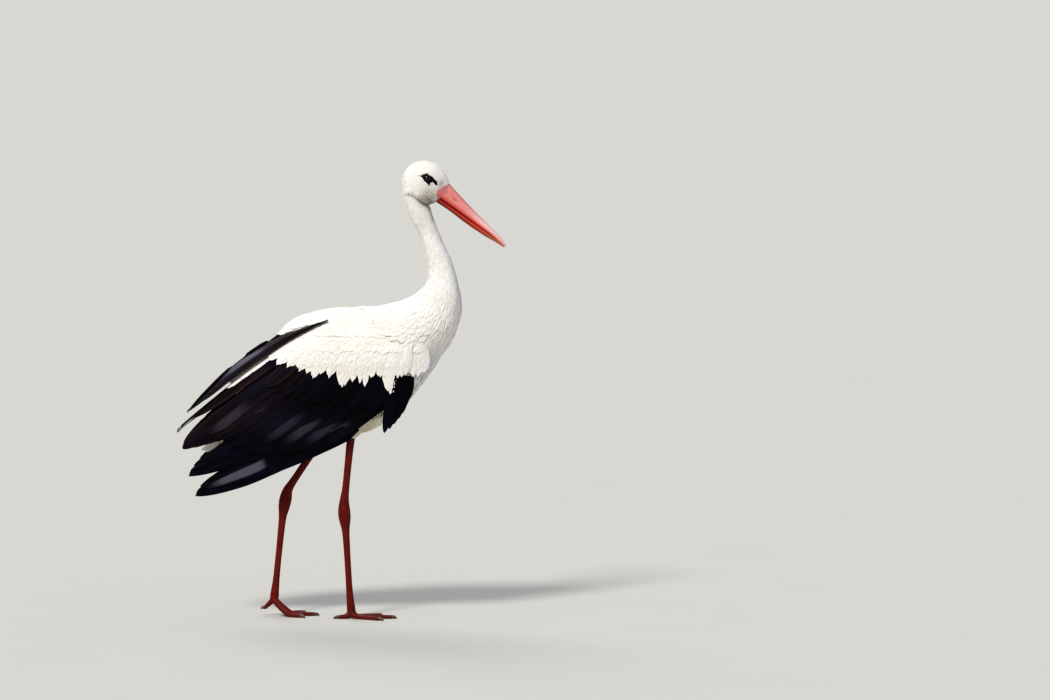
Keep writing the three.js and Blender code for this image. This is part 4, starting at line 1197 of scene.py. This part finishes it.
class STORK_OT_body_feathers(bpy.types.Operator):
    """Lay the small feathers of head, neck, breast, belly, rump and thighs"""
    bl_idname = "stork.body_feathers"
    bl_label = "Body feathers"

    def execute(self, context):
        rng = dice(1)
        ribs, spots = self.rows(rng)
        depth = coat_at(ribs, DEPTH)
        roots = body_point(ribs, spots, depth)
        flow = unit(body_point(ribs + 0.12, spots, depth) - roots)
        near, normal = made["surface"].nearest(roots)
        over_skin = ((roots - near) * normal).sum(-1)
        keep = (over_skin > -SUNK) & ~is_bare(near) & spaced(near, 0.66 * coat_at(ribs, SPACING))
        keep &= (ribs >= 0.5) | (np.abs(roots[:, 1]) >= 5)
        ribs, spots, roots, flow, over_skin = (v[keep] for v in (ribs, spots, near, flow, over_skin))
        n = len(ribs)
        places = np.stack([(spots / (2 * np.pi)) % 1, ribs / (len(BODY_RIBS) - 1)], -1)
        hackle = fade(ribs, 11, 13) * (1 - fade(ribs, 16.5, 18)) * fade(-np.sin(spots), 0.1, 0.8)
        grown = sizes().feather_length / FEATHER_LENGTH
        length = coat_at(ribs, LENGTH) * grown * rng.uniform(0.85, 1.18, n) * (1 + 0.45 * hackle)
        width = coat_at(ribs, WIDTH) * rng.uniform(0.85, 1.15, n) * (1 - 0.25 * hackle)
        loose = 0.16 + 0.3 * (1 - fade(ribs, 6, 9))
        sleek = 1 - 0.34 * (fade(ribs, 8, 11) * (1 - fade(ribs, 17, 19)))
        tucked = 1 - 0.6 * ((1 - fade(over_skin, -SUNK, -0.4)) * fade(ribs, 12, 14))
        jowl = self.jowl(roots)
        high = coat_at(ribs, DEPTH) * (1.04 - loose * rng.uniform(0, 1, n)) * sleek * tucked * (1 + 1.9 * jowl)
        length = length * (1 + 0.5 * jowl)
        flow = self.swing(flow, roots, rng.normal(0, 0.1, n) * (1 + 2 * jowl))
        for name, mine, shape, columns in (
            ("head_feathers", ribs < HEAD_END, "small", 3),
            ("neck_feathers", (ribs >= HEAD_END) & (ribs < NECK_END), "lance", 3),
            ("body_feathers", ribs >= NECK_END, "round", 5),
        ):
            self.coat(name, *(v[mine] for v in (roots, flow, length, width, high, places)), shape, columns, rng)
        self.dress_thighs(rng)
        return {"FINISHED"}

    @staticmethod
    def jowl(p):
        """How far the loose feathers of cheek and gape stand out, from 0 to 1."""
        share = np.zeros(len(p))
        for spot in JOWL:
            share = np.maximum(share, leaning_spot(p, *spot))
        return share * fade(np.abs(p[:, 1]), 8, 14)

    @staticmethod
    def coat(name, roots, flow, length, width, high, places, shape, columns, rng):
        low = np.full(len(roots), 0.25)
        vanes, rows = drape(roots, flow, length, width, low, high, shape, columns, rng)
        tint = vane_tint(rng, roots, rows, columns, 0.05)
        piece(coat_mesh(name, vanes, tint, places, rows), [white_vanes()])

    @staticmethod
    def swing(flow, roots, angle):
        """Turns the flow over the skin by an angle."""
        _, normal = made["surface"].nearest(roots)
        side = np.cross(normal, flow)
        return unit(flow * np.cos(angle)[:, None] + side * np.sin(angle)[:, None])

    @staticmethod
    def rows(rng):
        """Staggered rows round the body, from the bill base to the tail root: rib numbers, and angles round it."""
        ribs, spots = [], []
        ring = turns(96)
        rib, row, last = 0.03, 0, len(BODY_RIBS) - 1.15
        while rib < last:
            here = body_point(rib, ring)
            pace = np.linalg.norm(body_point(rib + 0.05, ring) - here, axis=-1).max() / 0.05
            around = np.linalg.norm(np.roll(here, -1, axis=0) - here, axis=-1)
            walk = np.concatenate([[0], np.cumsum(around)])
            count = max(8, int(walk[-1] / coat_at(rib, SPACING)))
            steps = (np.arange(count) + 0.5 * (row % 2) + rng.uniform(-0.2, 0.2, count)) / count * walk[-1]
            spots.append(np.interp(steps % walk[-1], walk, np.append(ring, 2 * np.pi)))
            step = coat_at(rib, ROW_GAP) / pace
            ribs.append(rib + rng.uniform(-0.22, 0.22, count) * step)
            rib += step
            row += 1
        return np.clip(np.concatenate(ribs), 0.0, last), np.concatenate(spots)

    @classmethod
    def dress_thighs(cls, rng):
        found = []
        sides = 40
        for name, side in SIDES.items():
            rings = tube(LEGS[name]["thigh"], THIGH_ROWS, sides, side, grow=-THIGH_DEPTH, flat=THIGH_FLAT)
            down = np.gradient(rings, axis=0)
            for k in range(2, THIGH_ROWS - 1):
                count = int(16 + 18 * (1 - k / THIGH_ROWS))
                spots = (np.arange(count) + 0.5 * (k % 2) + rng.uniform(-0.25, 0.25, count)) / count * sides
                i = spots.astype(int) % sides
                share = np.full(count, k / THIGH_ROWS)
                place = np.stack([(0.02 if side < 0 else 0.52) + 0.46 * spots / (sides + 1), share], -1)
                found.append((rings[k, i], unit(down[k, i]), place, share))
        roots, flow, places, share = (np.concatenate(v) for v in zip(*found))
        near, normal = made["surface"].nearest(roots)
        keep = (((roots - near) * normal).sum(-1) > -2.4) & spaced(near, np.full(len(near), 3.0))
        near, flow, places, share = (v[keep] for v in (near, flow, places, share))
        length = (24 - 9 * share) * rng.uniform(0.85, 1.2, len(near))
        width = (9.5 - 4.5 * share) * rng.uniform(0.85, 1.15, len(near))
        high = (5.0 - 2.6 * share) * rng.uniform(0.7, 1.05, len(near))
        cls.coat("thigh_feathers", near, flow, length, width, high, places, "lance", 3, rng)


def along_back(x):
    """Place in the coat's map, from tail to neck."""
    return 0.03 + 0.94 * (x + 200) / 420


class STORK_OT_shoulder_feathers(bpy.types.Operator):
    """Lay the white scapulars and coverts of both folded wings, down to their hanging lobes"""
    bl_idname = "stork.shoulder_feathers"
    bl_label = "Shoulder feathers"

    def execute(self, context):
        for name, side in SIDES.items():
            rng = dice(20 + side)
            self.rows(name, side, rng)
            self.lobes(name, side, rng)
        self.mantle(dice(25))
        return {"FINISHED"}

    @staticmethod
    def mantle(rng):
        """Feathers down the middle of the back, over the line where the two folded wings meet."""
        rows, widths = (v[:, None] for v in shape_rows("round"))
        u = np.linspace(-1, 1, 5)
        x, y = (v.ravel() for v in np.meshgrid(np.arange(128, -104, -5.0), [-9.0, -3.0, 3.0, 9.0], indexing="ij"))
        x = x + rng.uniform(-2, 2, len(x))
        y = y + rng.uniform(-1, 1, len(x))
        length = rng.uniform(28, 36, len(x)) * (1 - 0.25 * fade(-x, 60, 95))
        width = rng.uniform(12, 15, len(x))
        px = x[:, None, None] - length[:, None, None] * rows + 0 * u
        py = y[:, None, None] * (1 + 0.15 * rows) + (width / 2)[:, None, None] * widths * u
        lift = -4.6 + 4.4 * rows**0.8 - 0.5 * u**2
        pz = ridge_height(px) - MIDDLE_DROP + lift - 0.016 * py**2
        vanes = np.stack([px, py, pz], -1)
        # Darker at the root: painted shade under the row above.
        tint = white_tint(vanes[:, 0, 2])[:, None, None] * (0.95 + 0.05 * rows)[..., None] * np.ones((1, 1, 5, 1))
        places = np.stack([along_back(x), 0.5 + y / 60], -1)
        piece(coat_mesh("mantle_feathers", vanes, tint, places, rows.ravel()), [white_vanes()])

    @staticmethod
    def lay(name, side, x, z, angle, length, width, low, high, rng, columns=5, nodes=()):
        """Feathers on the wing's side surface; angle is how far their tips turn down from straight back."""
        rows, widths = shape_rows("round")
        u = np.linspace(-1, 1, columns)
        t = rows[:, None]
        dx, dz = -np.cos(angle)[:, None, None], -np.sin(angle)[:, None, None]
        fray = frayed(rng, len(x), columns, 0.035) * length[:, None]
        at_tip = np.select([rows >= 1, rows > 0.8], [1, 0.3], 0)[:, None]
        reach = length[:, None, None] * t + fray[:, None, :] * at_tip
        off = width[:, None, None] * widths[:, None] / 2 * u
        sag = 0.18 * (t**2) * 6
        px = x[:, None, None] + dx * reach + dz * off
        pz = np.minimum(z[:, None, None] + dz * reach - dx * off - sag, ridge_height(px) - 0.4)
        out = low[:, None, None] + (high - low)[:, None, None] * t**0.8 - 0.045 * width[:, None, None] * u**2
        vanes = on_fold(px, pz, out, side)
        tint = vane_tint(rng, vanes[:, 0, columns // 2], rows, columns, 0.06)
        down_side = (ridge_height(x) - z) * 1.15
        places = np.stack([along_back(x), 0.03 + 0.94 * (down_side + 10) / 240], -1)
        mesh = coat_mesh(f"{name}_{'right' if side < 0 else 'left'}", vanes, tint, places, rows)
        piece(mesh, [white_vanes()], nodes)

    @staticmethod
    def hang(x):
        """How steeply the lowest white feathers hang, by x."""
        return np.interp(x, [-150, -60, 0, 130], [44, 60, 78, 86])

    @classmethod
    def rows(cls, name, side, rng):
        """Shingled rows from the back's middle line to the roots of the lobes."""
        spots = []
        row_gap, gap = 5.4, 6.4
        for row, drop in enumerate(np.arange(1.0, 104, row_gap)):
            x = np.arange(176, -150, -gap) + gap / 2 * (row % 2)
            x = x + rng.uniform(-1.0, 1.0, len(x))
            spots.append(np.stack([x, ridge_height(x) - drop + rng.uniform(-1.0, 1.0, len(x))], -1))
        x, z = np.concatenate(spots).T
        keep = z > np.interp(-x, [-176, -130, -60, 20, 90, 150], [530, 530, 532, 536, 548, 556])
        x, z = x[keep], z[keep]
        share = np.clip((ridge_height(x) - z) / 95, 0, 1)
        over = z > cls.band(x, "top") - 2
        level = 12  # degrees that the topmost feathers turn down
        angle = level + (cls.hang(x) - level) * share**1.3
        band_slope = 17 + 0.17 * np.clip(BAND_END - x, 0, 130)
        angle = np.where(over & (x < 0), level + 0.27 * np.clip(-x - 15, 0, 110), angle)
        below = cls.band(x, "bottom") - z
        along = (1 - fade(below, 6, 24)) * fade(-x, 0, 30) * ~over
        angle = angle * (1 - along) + band_slope * along
        angle = np.radians(angle) + rng.normal(0, 0.045, len(x))
        length = (32 + 4 * share) * rng.uniform(0.9, 1.1, len(x))
        width = 13.5 * rng.uniform(0.9, 1.12, len(x))
        length, clear = cls.clear_of_band(x, z, angle, length, over)
        keep = clear & ((x > -112) | ~over)
        x, z, angle, length, width, share = (v[keep] for v in (x, z, angle, length, width, share))
        front = fade(x, 125, 176)
        tip_z = z - np.sin(angle) * length
        crest = 1.5 * bell(tip_z, 577, 5) + 1.3 * bell(tip_z, 543, 5)
        high = 17.6 + crest * fade(x, -45, 0) - 5.0 * front
        cls.lay("scapular_feathers", side, x, z, angle, length, width, 14.2 - 5 * front,
                high * rng.uniform(0.98, 1.02, len(x)), rng, nodes=[f"scapulars_{name}"])

    @staticmethod
    def band(x, edge):
        """Height of an edge of the dark band of the tertials."""
        return np.interp(x, BAND[:, 0], BAND[:, {"top": 1, "bottom": 2}[edge]])

    @classmethod
    def clear_of_band(cls, x, z, angle, length, over):
        """Shortens feathers that would cross the dark band of the tertials, and tells which ones can stay."""
        best = np.zeros(len(x))
        ahead = x > BAND_END
        free = ahead | np.where(over, z > cls.band(x, "top"), z < cls.band(x, "bottom"))
        for share in (0.45, 0.6, 0.75, 0.9, 1.0):
            tx, tz = x - np.cos(angle) * length * share, z - np.sin(angle) * length * share
            top, low = cls.band(tx, "top"), cls.band(tx, "bottom")
            above = tz > (top + low) / 2
            good = (tx > BAND_END) | np.where(above, tz > top + 1.5, tz < low - 3.5)
            good &= ahead | (above == over)
            best = np.where(good, length * share, best)
        return best, free & (best > 10)

    @classmethod
    def lobes(cls, name, side, rng):
        """Loose hanging tufts over the black feathers, in rows that close to a rounded tip."""
        gap = 4.6
        feathers = []
        for tip_x, tip_z, root_x, root_z, width in LOBES:
            lean = np.array([tip_x - root_x, tip_z - root_z])
            reach = np.linalg.norm(lean)
            down = lean / reach
            away = np.array([-down[1], down[0]])
            for row, up in enumerate(np.arange(0, reach - 4, gap)):
                near_tip = min(up / (1.05 * width), 1)
                half = max(0.5 * width * math.sqrt(1 - (1 - near_tip) ** 2) - 2.5, 0)
                count = max(1, int(round(2 * half / gap)) + (row % 2))
                for place in (np.linspace(-half, half, count) if count > 1 else [0.0]):
                    place = place + rng.uniform(-0.7, 0.7)
                    tip = np.array([tip_x, tip_z]) - down * (up + rng.uniform(-1.2, 1.2)) + away * place
                    turn = math.atan2(-down[1], -down[0]) - 0.011 * place + rng.normal(0, 0.05)
                    length = rng.uniform(29, 36)
                    crown = 1 - (place / (0.5 * width)) ** 2
                    feathers.append([tip[0] + math.cos(turn) * length, tip[1] + math.sin(turn) * length, turn, length,
                                     rng.uniform(7.0, 9.5), crown])
        x, z, angle, length, width, crown = np.array(feathers).T
        tx, tz = x - np.cos(angle) * length, z - np.sin(angle) * length
        keep = tz < cls.band(tx, "bottom") - 2
        x, z, angle, length, width, crown = (v[keep] for v in (x, z, angle, length, width, crown))
        cls.lay("covert_feathers", side, x, z, angle, length, width, np.full(len(x), 14.0),
                15.6 + 2.4 * crown, rng, nodes=[f"coverts_{name}"])
        x, z, angle, length, width, height = STRIPE.T
        cls.lay("stripe_feathers", side, x, z, np.radians(angle), length, width, height, height + 0.8, rng, columns=7)


class STORK_OT_flight_feathers(bpy.types.Operator):
    """Fold the primaries, secondaries, tertials, alulae and black coverts along both sides"""
    bl_idname = "stork.flight_feathers"
    bl_label = "Flight feathers"

    def execute(self, context):
        for name, side in SIDES.items():
            for group, plan in FLIGHT.items():
                nodes = [] if group in ("black_coverts", "inner_secondaries", "wisps") else [f"{group}_{name}"]
                self.lay(group, name, side, plan, nodes)
        return {"FINISHED"}

    @staticmethod
    def shaft(plan, i, share):
        """Points and directions along the shaft of feather number i, in the plane of the side surface."""
        base = np.array(plan["base"], float)
        end = np.array(plan["tips"][i], float)
        k = i / (len(plan["tips"]) - 1)
        start = base[0] * (1 - k) + base[1] * k
        bend = np.array(plan["bend"], float)
        middle = (start + end) / 2 + bend[0] * (1 - k) + bend[1] * k
        s = share[:, None]
        points = start * (1 - s) ** 2 + middle * 2 * s * (1 - s) + end * s * s
        return points, unit(np.gradient(points, axis=0))

    @classmethod
    def lay(cls, group, name, side, plan, nodes):
        rng = dice(40 + len(group) + (side > 0))
        u = np.array([-1, -0.86, -0.68, -0.46, -0.24, -0.07, 0, 0.07, 0.24, 0.46, 0.68, 0.86, 1.0])
        share = np.concatenate([np.linspace(0, 0.85, 32), 1 - 0.15 * (1 - np.linspace(0, 1, 13)[1:]) ** 1.7])
        narrow, swell = plan.get("root", (0.5, 6.0))
        count = len(plan["tips"])
        feathers = []
        for i in range(count):
            _, wider, phase, curl = rng.normal(0, 1, 4)
            centre, ahead = cls.shaft(plan, i, share)
            past = np.clip((share - plan["taper"]) / (1 - plan["taper"]), 0, 1)
            tip = np.maximum(1 - past ** (3 - plan["sharp"] * 2), 0.001) ** plan["sharp"]
            half = plan["half"] * (1 + 0.04 * wider) * tip
            half = np.maximum(half * np.minimum(1, narrow + share * swell), 0.25)
            off = half[:, None] * u[None, :] * cls.split_edge(rng, share, u)
            px = centre[:, 0:1] - ahead[:, 1:2] * off
            pz = centre[:, 1:2] + ahead[:, 0:1] * off
            cup = -0.9 * u**2
            tilt = 1.5 * u
            rib = 0.75 * (1 - 0.7 * share)[:, None] * bell(u, 0, 0.07)  # the shaft stands out from the web
            wave = 0.25 * np.sin(share * 9 + phase * 3)[:, None] * u
            out = plan["layer"] + plan["step"] * i + (cup + tilt)[None, :] + wave + 0.5
            out = out + 1.2 * abs(curl) * (share**3)[:, None]
            thick = (0.42 - 0.2 * share)[:, None] * (1 - 0.6 * u**2)[None, :] + 0.12
            outer = on_fold(px, pz, out + rib + thick, side)
            inner = on_fold(px, pz, out - 0.5 * rib - thick, side)
            tone = cls.tone(group, plan, i, share[:, None], u[None], px, pz)
            # The inner face is a darker copy of the outer one: painted shade.
            feathers.append((outer, inner, u, share, (i * VANE_STEP) % 1, (tone, tone * 0.8), 0.04 + 0.92 * i / count))
        thick_coat(f"{group}_{name}", feathers, black_vanes(), nodes)

    @staticmethod
    def split_edge(rng, share, u):
        """Shares of the width along and across a vane, with five small splits in its edges."""
        edge = np.ones((len(share), len(u)))
        for _ in range(5):
            at, deep, which = rng.uniform(0.35, 0.97), rng.uniform(0.04, 0.16), rng.choice([-1, 1])
            edge -= deep * bell(share, at, 0.008)[:, None] * (np.sign(u) == which) * (np.abs(u) > 0.8)
        return edge

    @staticmethod
    def tone(group, plan, i, t, u, x, z):
        """Black with brown worn edges; silvery outer webs, partly their own grey and partly a painted highlight; and a
        blue or purple cast, which is painted sheen.
        """
        c = colours()
        p = np.stack(np.broadcast_arrays(x, u * 4, z), -1)
        # The blue and purple blotches are painted sheen, in place of the gloss on the black feathers.
        blue, purple = [0.004, 0.0055, 0.018], [0.007, 0.003, 0.009]
        tint = blend_colour(np.array(c.black), blue, np.clip(0.3 + 0.7 * ripple(p, 38, i), 0, 1) * 0.8)
        tint = blend_colour(tint, purple, np.clip(ripple(p, 27, i + 9), 0, 1) * 0.7)
        rim = fade(np.abs(u), 0.72, 1.0)
        last = len(plan["tips"]) - 1
        k = i / last
        worn = {"primaries": 0.03, "secondaries": 0.03 + 0.3 * k**4, "tertials": 0.08 + 0.25 * k, "alula": 0.0,
                "black_coverts": 0.02 + 0.5 * k**6, "wisps": 0.3, "inner_secondaries": 0.55}[group]
        tint = blend_colour(tint, c.brown, worn * (0.15 + 0.85 * rim) * fade(t, 0.05, 0.3))
        # Silvery outer webs: partly the webs' own grey, partly a painted highlight.
        web = np.zeros(x.shape)
        if group == "primaries" and i == 2:
            web = 0.95 * fade(t, 0.60, 0.64) * (1 - fade(t, 0.84, 0.96))
            web = web * fade(u, -0.25, 0.0) * (1 - fade(u, 0.7, 0.95))
        if group == "secondaries":
            lit = {1: 0.55, 2: 0.25, 4: 0.35, 6: 0.25, 10: 0.35, 12: 0.3}.get(i, 0.04)
            web = lit * fade(u, 0.0, 0.2) * fade(t, 0.45, 0.6) * (1 - fade(t, 0.68, 0.85))
        if group == "tertials" and i == last:
            web = 0.8 * fade(-u, -0.2, 0.2) * fade(t, 0.42, 0.5) * (1 - fade(t, 0.62, 0.78))
        return blend_colour(tint, c.silver, web * (1 - 0.6 * rim))


class STORK_OT_tail(bpy.types.Operator):
    """Fan the white tail feathers, with their coverts above and below"""
    bl_idname = "stork.tail"
    bl_label = "Tail"

    def execute(self, context):
        rng = dice(70)
        (rx, rz), (tx, tz) = TAIL["root"], TAIL["tip"]
        along = unit(np.array([tx - rx, 0, tz - rz]))
        normal = unit(np.array([rz - tz, 0, tx - rx]))

        def spot(share, lateral, out):
            share, lateral, out = np.broadcast_arrays(share, lateral, out)
            half = TAIL["root_half"] + (TAIL["tip_half"] - TAIL["root_half"]) * np.sqrt(np.clip(share, 0, 1))
            flat = np.stack([rx + (tx - rx) * share, lateral * half, rz + (tz - rz) * share], -1)
            back = -14 * share * lateral**2
            rise = (TAIL["arch"] * share + TAIL["droop"] * share**6) * lateral**2 - out
            return flat + back[..., None] * along + rise[..., None] * normal

        u = np.array([-1, -0.8, -0.5, -0.2, -0.06, 0, 0.06, 0.2, 0.5, 0.8, 1.0])
        share = np.linspace(-0.05, 1, 40)
        past = np.clip((share - 0.72) / 0.28, 0, 1)
        half = 0.30 * np.sqrt(np.maximum(1 - past**2, 0.001)) * (0.75 + 0.25 * share)
        rib = 0.6 * (1 - 0.6 * share)[:, None] * bell(u, 0, 0.06)  # the shaft stands out from the web
        feathers = []
        for i, lateral in enumerate(np.linspace(-0.8, 0.8, 10)):
            lat = lateral * (0.35 + 0.65 * np.sqrt(np.clip(share, 0.02, 1)))[:, None] + half[:, None] * u[None]
            lift = 2.4 * (1 - abs(lateral)) + 0.5 - 0.7 * u**2 - np.sign(lateral) * 0.6 * u
            run = share[:, None] * (0.97 + 0.03 * rng.uniform(0, 1))
            outer = spot(run, lat, lift[None] + rib + 0.3)
            inner = spot(run, lat, lift[None] - 0.3)
            tone = white_tint(outer)
            # The inner face is a darker copy of the outer one: painted shade.
            feathers.append((outer, inner, u, share, (i * VANE_STEP) % 1, (tone, tone * 0.92), 0.05 + 0.09 * i))
        thick_coat("tail_feathers", feathers, white_vanes(), ["tail"])

        rows, widths = (v[:, None] for v in shape_rows("round"))
        u = np.linspace(-1, 1, 5)
        vanes, places = [], []
        for face, reach in ((1, 0.62), (-1, 0.92)):
            for start in np.arange(-0.12, reach - 0.2, 0.055):
                for lateral in np.arange(-1, 1.01, 0.22) + rng.uniform(-0.05, 0.05):
                    s0 = start + rng.uniform(-0.02, 0.02)
                    length, half = rng.uniform(0.16, 0.24), rng.uniform(0.17, 0.24)
                    lat = lateral * 0.95 + half * widths * u
                    out = face * (3.2 + 2.6 * rows - 0.9 * u**2) + 2 * (face > 0)
                    vanes.append(spot(s0 + length * rows, lat, out * (1 - 0.35 * abs(lateral))))
                    places.append((0.25 + 0.2 * face + 0.2 * lateral, 0.1 + s0 * 0.8))
        vanes = np.array(vanes)
        tint = white_tint(vanes) * rng.uniform(0.95, 1.03, (len(vanes), 1, 1, 1))
        mesh = coat_mesh("tail_coverts", vanes, tint, places, rows.ravel())
        piece(mesh, [white_vanes()])
        return {"FINISHED"}


class STORK_OT_stage(bpy.types.Operator):
    """Set the plain floor, the soft studio light and the camera"""
    bl_idname = "stork.stage"
    bl_label = "Stage"

    def execute(self, context):
        scene = context.scene
        sides = 96
        corners = np.arange(sides)
        rings = np.array([[[r * math.cos(a), r * math.sin(a), 0] for a in corners * 2 * np.pi / sides]
                          for r in (400, 3000, 20000, 160000)])
        fan = np.stack([0 * corners, 1 + corners, 1 + (corners + 1) % sides], -1)
        points, faces = merged([(rings.reshape(-1, 3), [ring_quads(len(rings), sides)]),
                                (np.vstack([[0, 0, 0], rings[0]]), [fan])])
        mesh = mesh_of("floor", points, faces)
        paint(mesh, np.tile(colours().floor, (len(points), 1)))
        material, tree, shader = new_material("floor", 0.9, Specular_IOR_Level=0.15)
        grain = add(tree, "TexNoise", in_Vector=add(tree, "TexCoord").outputs["Object"], in_Scale=3.0, in_Detail=4.0)
        tint = add(tree, "Attribute", attribute_name="tint")
        tree.links.new(varied_colour(tree, tint, grain, 0.99, 1.01), shader.inputs["Base Color"])
        mesh.materials.append(material)
        placed("floor", mesh)

        world = bpy.data.worlds.new("studio")
        world.use_nodes = True
        background = world.node_tree.nodes["Background"]
        background.inputs["Color"].default_value = (0.86, 0.89, 0.94, 1)
        background.inputs["Strength"].default_value = 0.54
        scene.world = world
        scene.view_settings.view_transform = "Standard"
        scene.view_settings.look = "Medium High Contrast"
        self.sun("key", (-0.42, -0.78, 0.92), 2.3, 12, (1.0, 0.975, 0.93))
        self.sun("rim", (-0.35, 0.9, 0.8), 0.9, 30, (0.95, 0.97, 1.0))

        camera = bpy.data.cameras.new("camera")
        camera.sensor_width = 36
        camera.lens = 428.6
        camera.clip_start, camera.clip_end = 0.1, 400
        seat = placed("camera", camera)
        rise, away = math.radians(5.5), 25
        back = Vector((0, -math.cos(rise), math.sin(rise)))
        seat.location = Vector((0.369 - MIDDLE_X * MM, 0, 0.538)) + back * away
        seat.rotation_mode = "QUATERNION"
        seat.rotation_quaternion = (-back).to_track_quat("-Z", "Y")
        scene.camera = seat
        return {"FINISHED"}

    @staticmethod
    def sun(name, toward, strength, spread, tone):
        lamp = bpy.data.lights.new(name, "SUN")
        lamp.energy = strength
        lamp.angle = math.radians(spread)
        lamp.color = tone
        obj = placed(name, lamp)
        obj.rotation_mode = "QUATERNION"
        obj.rotation_quaternion = Vector(toward).to_track_quat("Z", "Y")


class STORK_PT_panel(bpy.types.Panel):
    """Sizes, colours and building steps of the stork"""
    bl_idname = "STORK_PT_panel"
    bl_label = "White stork"
    bl_space_type = "VIEW_3D"
    bl_region_type = "UI"
    bl_category = "White stork"

    def draw(self, context):
        layout = self.layout
        for title, group in (("Sizes", context.scene.stork_sizes), ("Colours", context.scene.stork_colours)):
            layout.label(text=title)
            for key in group.__annotations__:
                layout.prop(group, key)
        layout.label(text="Build")
        for operator in OPERATORS:
            layout.operator(operator.bl_idname)


OPERATORS = (
    STORK_OT_skin, STORK_OT_bill, STORK_OT_eyes, STORK_OT_claws, STORK_OT_body_feathers,
    STORK_OT_shoulder_feathers, STORK_OT_flight_feathers, STORK_OT_tail, STORK_OT_stage,
)
CLASSES = (StorkSizes, StorkColours, *OPERATORS, STORK_PT_panel)


def register():
    for cls in CLASSES:
        bpy.utils.register_class(cls)
    bpy.types.Scene.stork_sizes = PointerProperty(type=StorkSizes)
    bpy.types.Scene.stork_colours = PointerProperty(type=StorkColours)


def unregister():
    del bpy.types.Scene.stork_colours
    del bpy.types.Scene.stork_sizes
    for cls in reversed(CLASSES):
        bpy.utils.unregister_class(cls)


def main():
    register()
    bpy.ops.stork.skin()
    bpy.ops.stork.bill()
    bpy.ops.stork.eyes()
    bpy.ops.stork.claws()
    bpy.ops.stork.body_feathers()
    bpy.ops.stork.shoulder_feathers()
    bpy.ops.stork.flight_feathers()
    bpy.ops.stork.tail()
    bpy.ops.stork.stage()


if __name__ == "__main__":
    main()
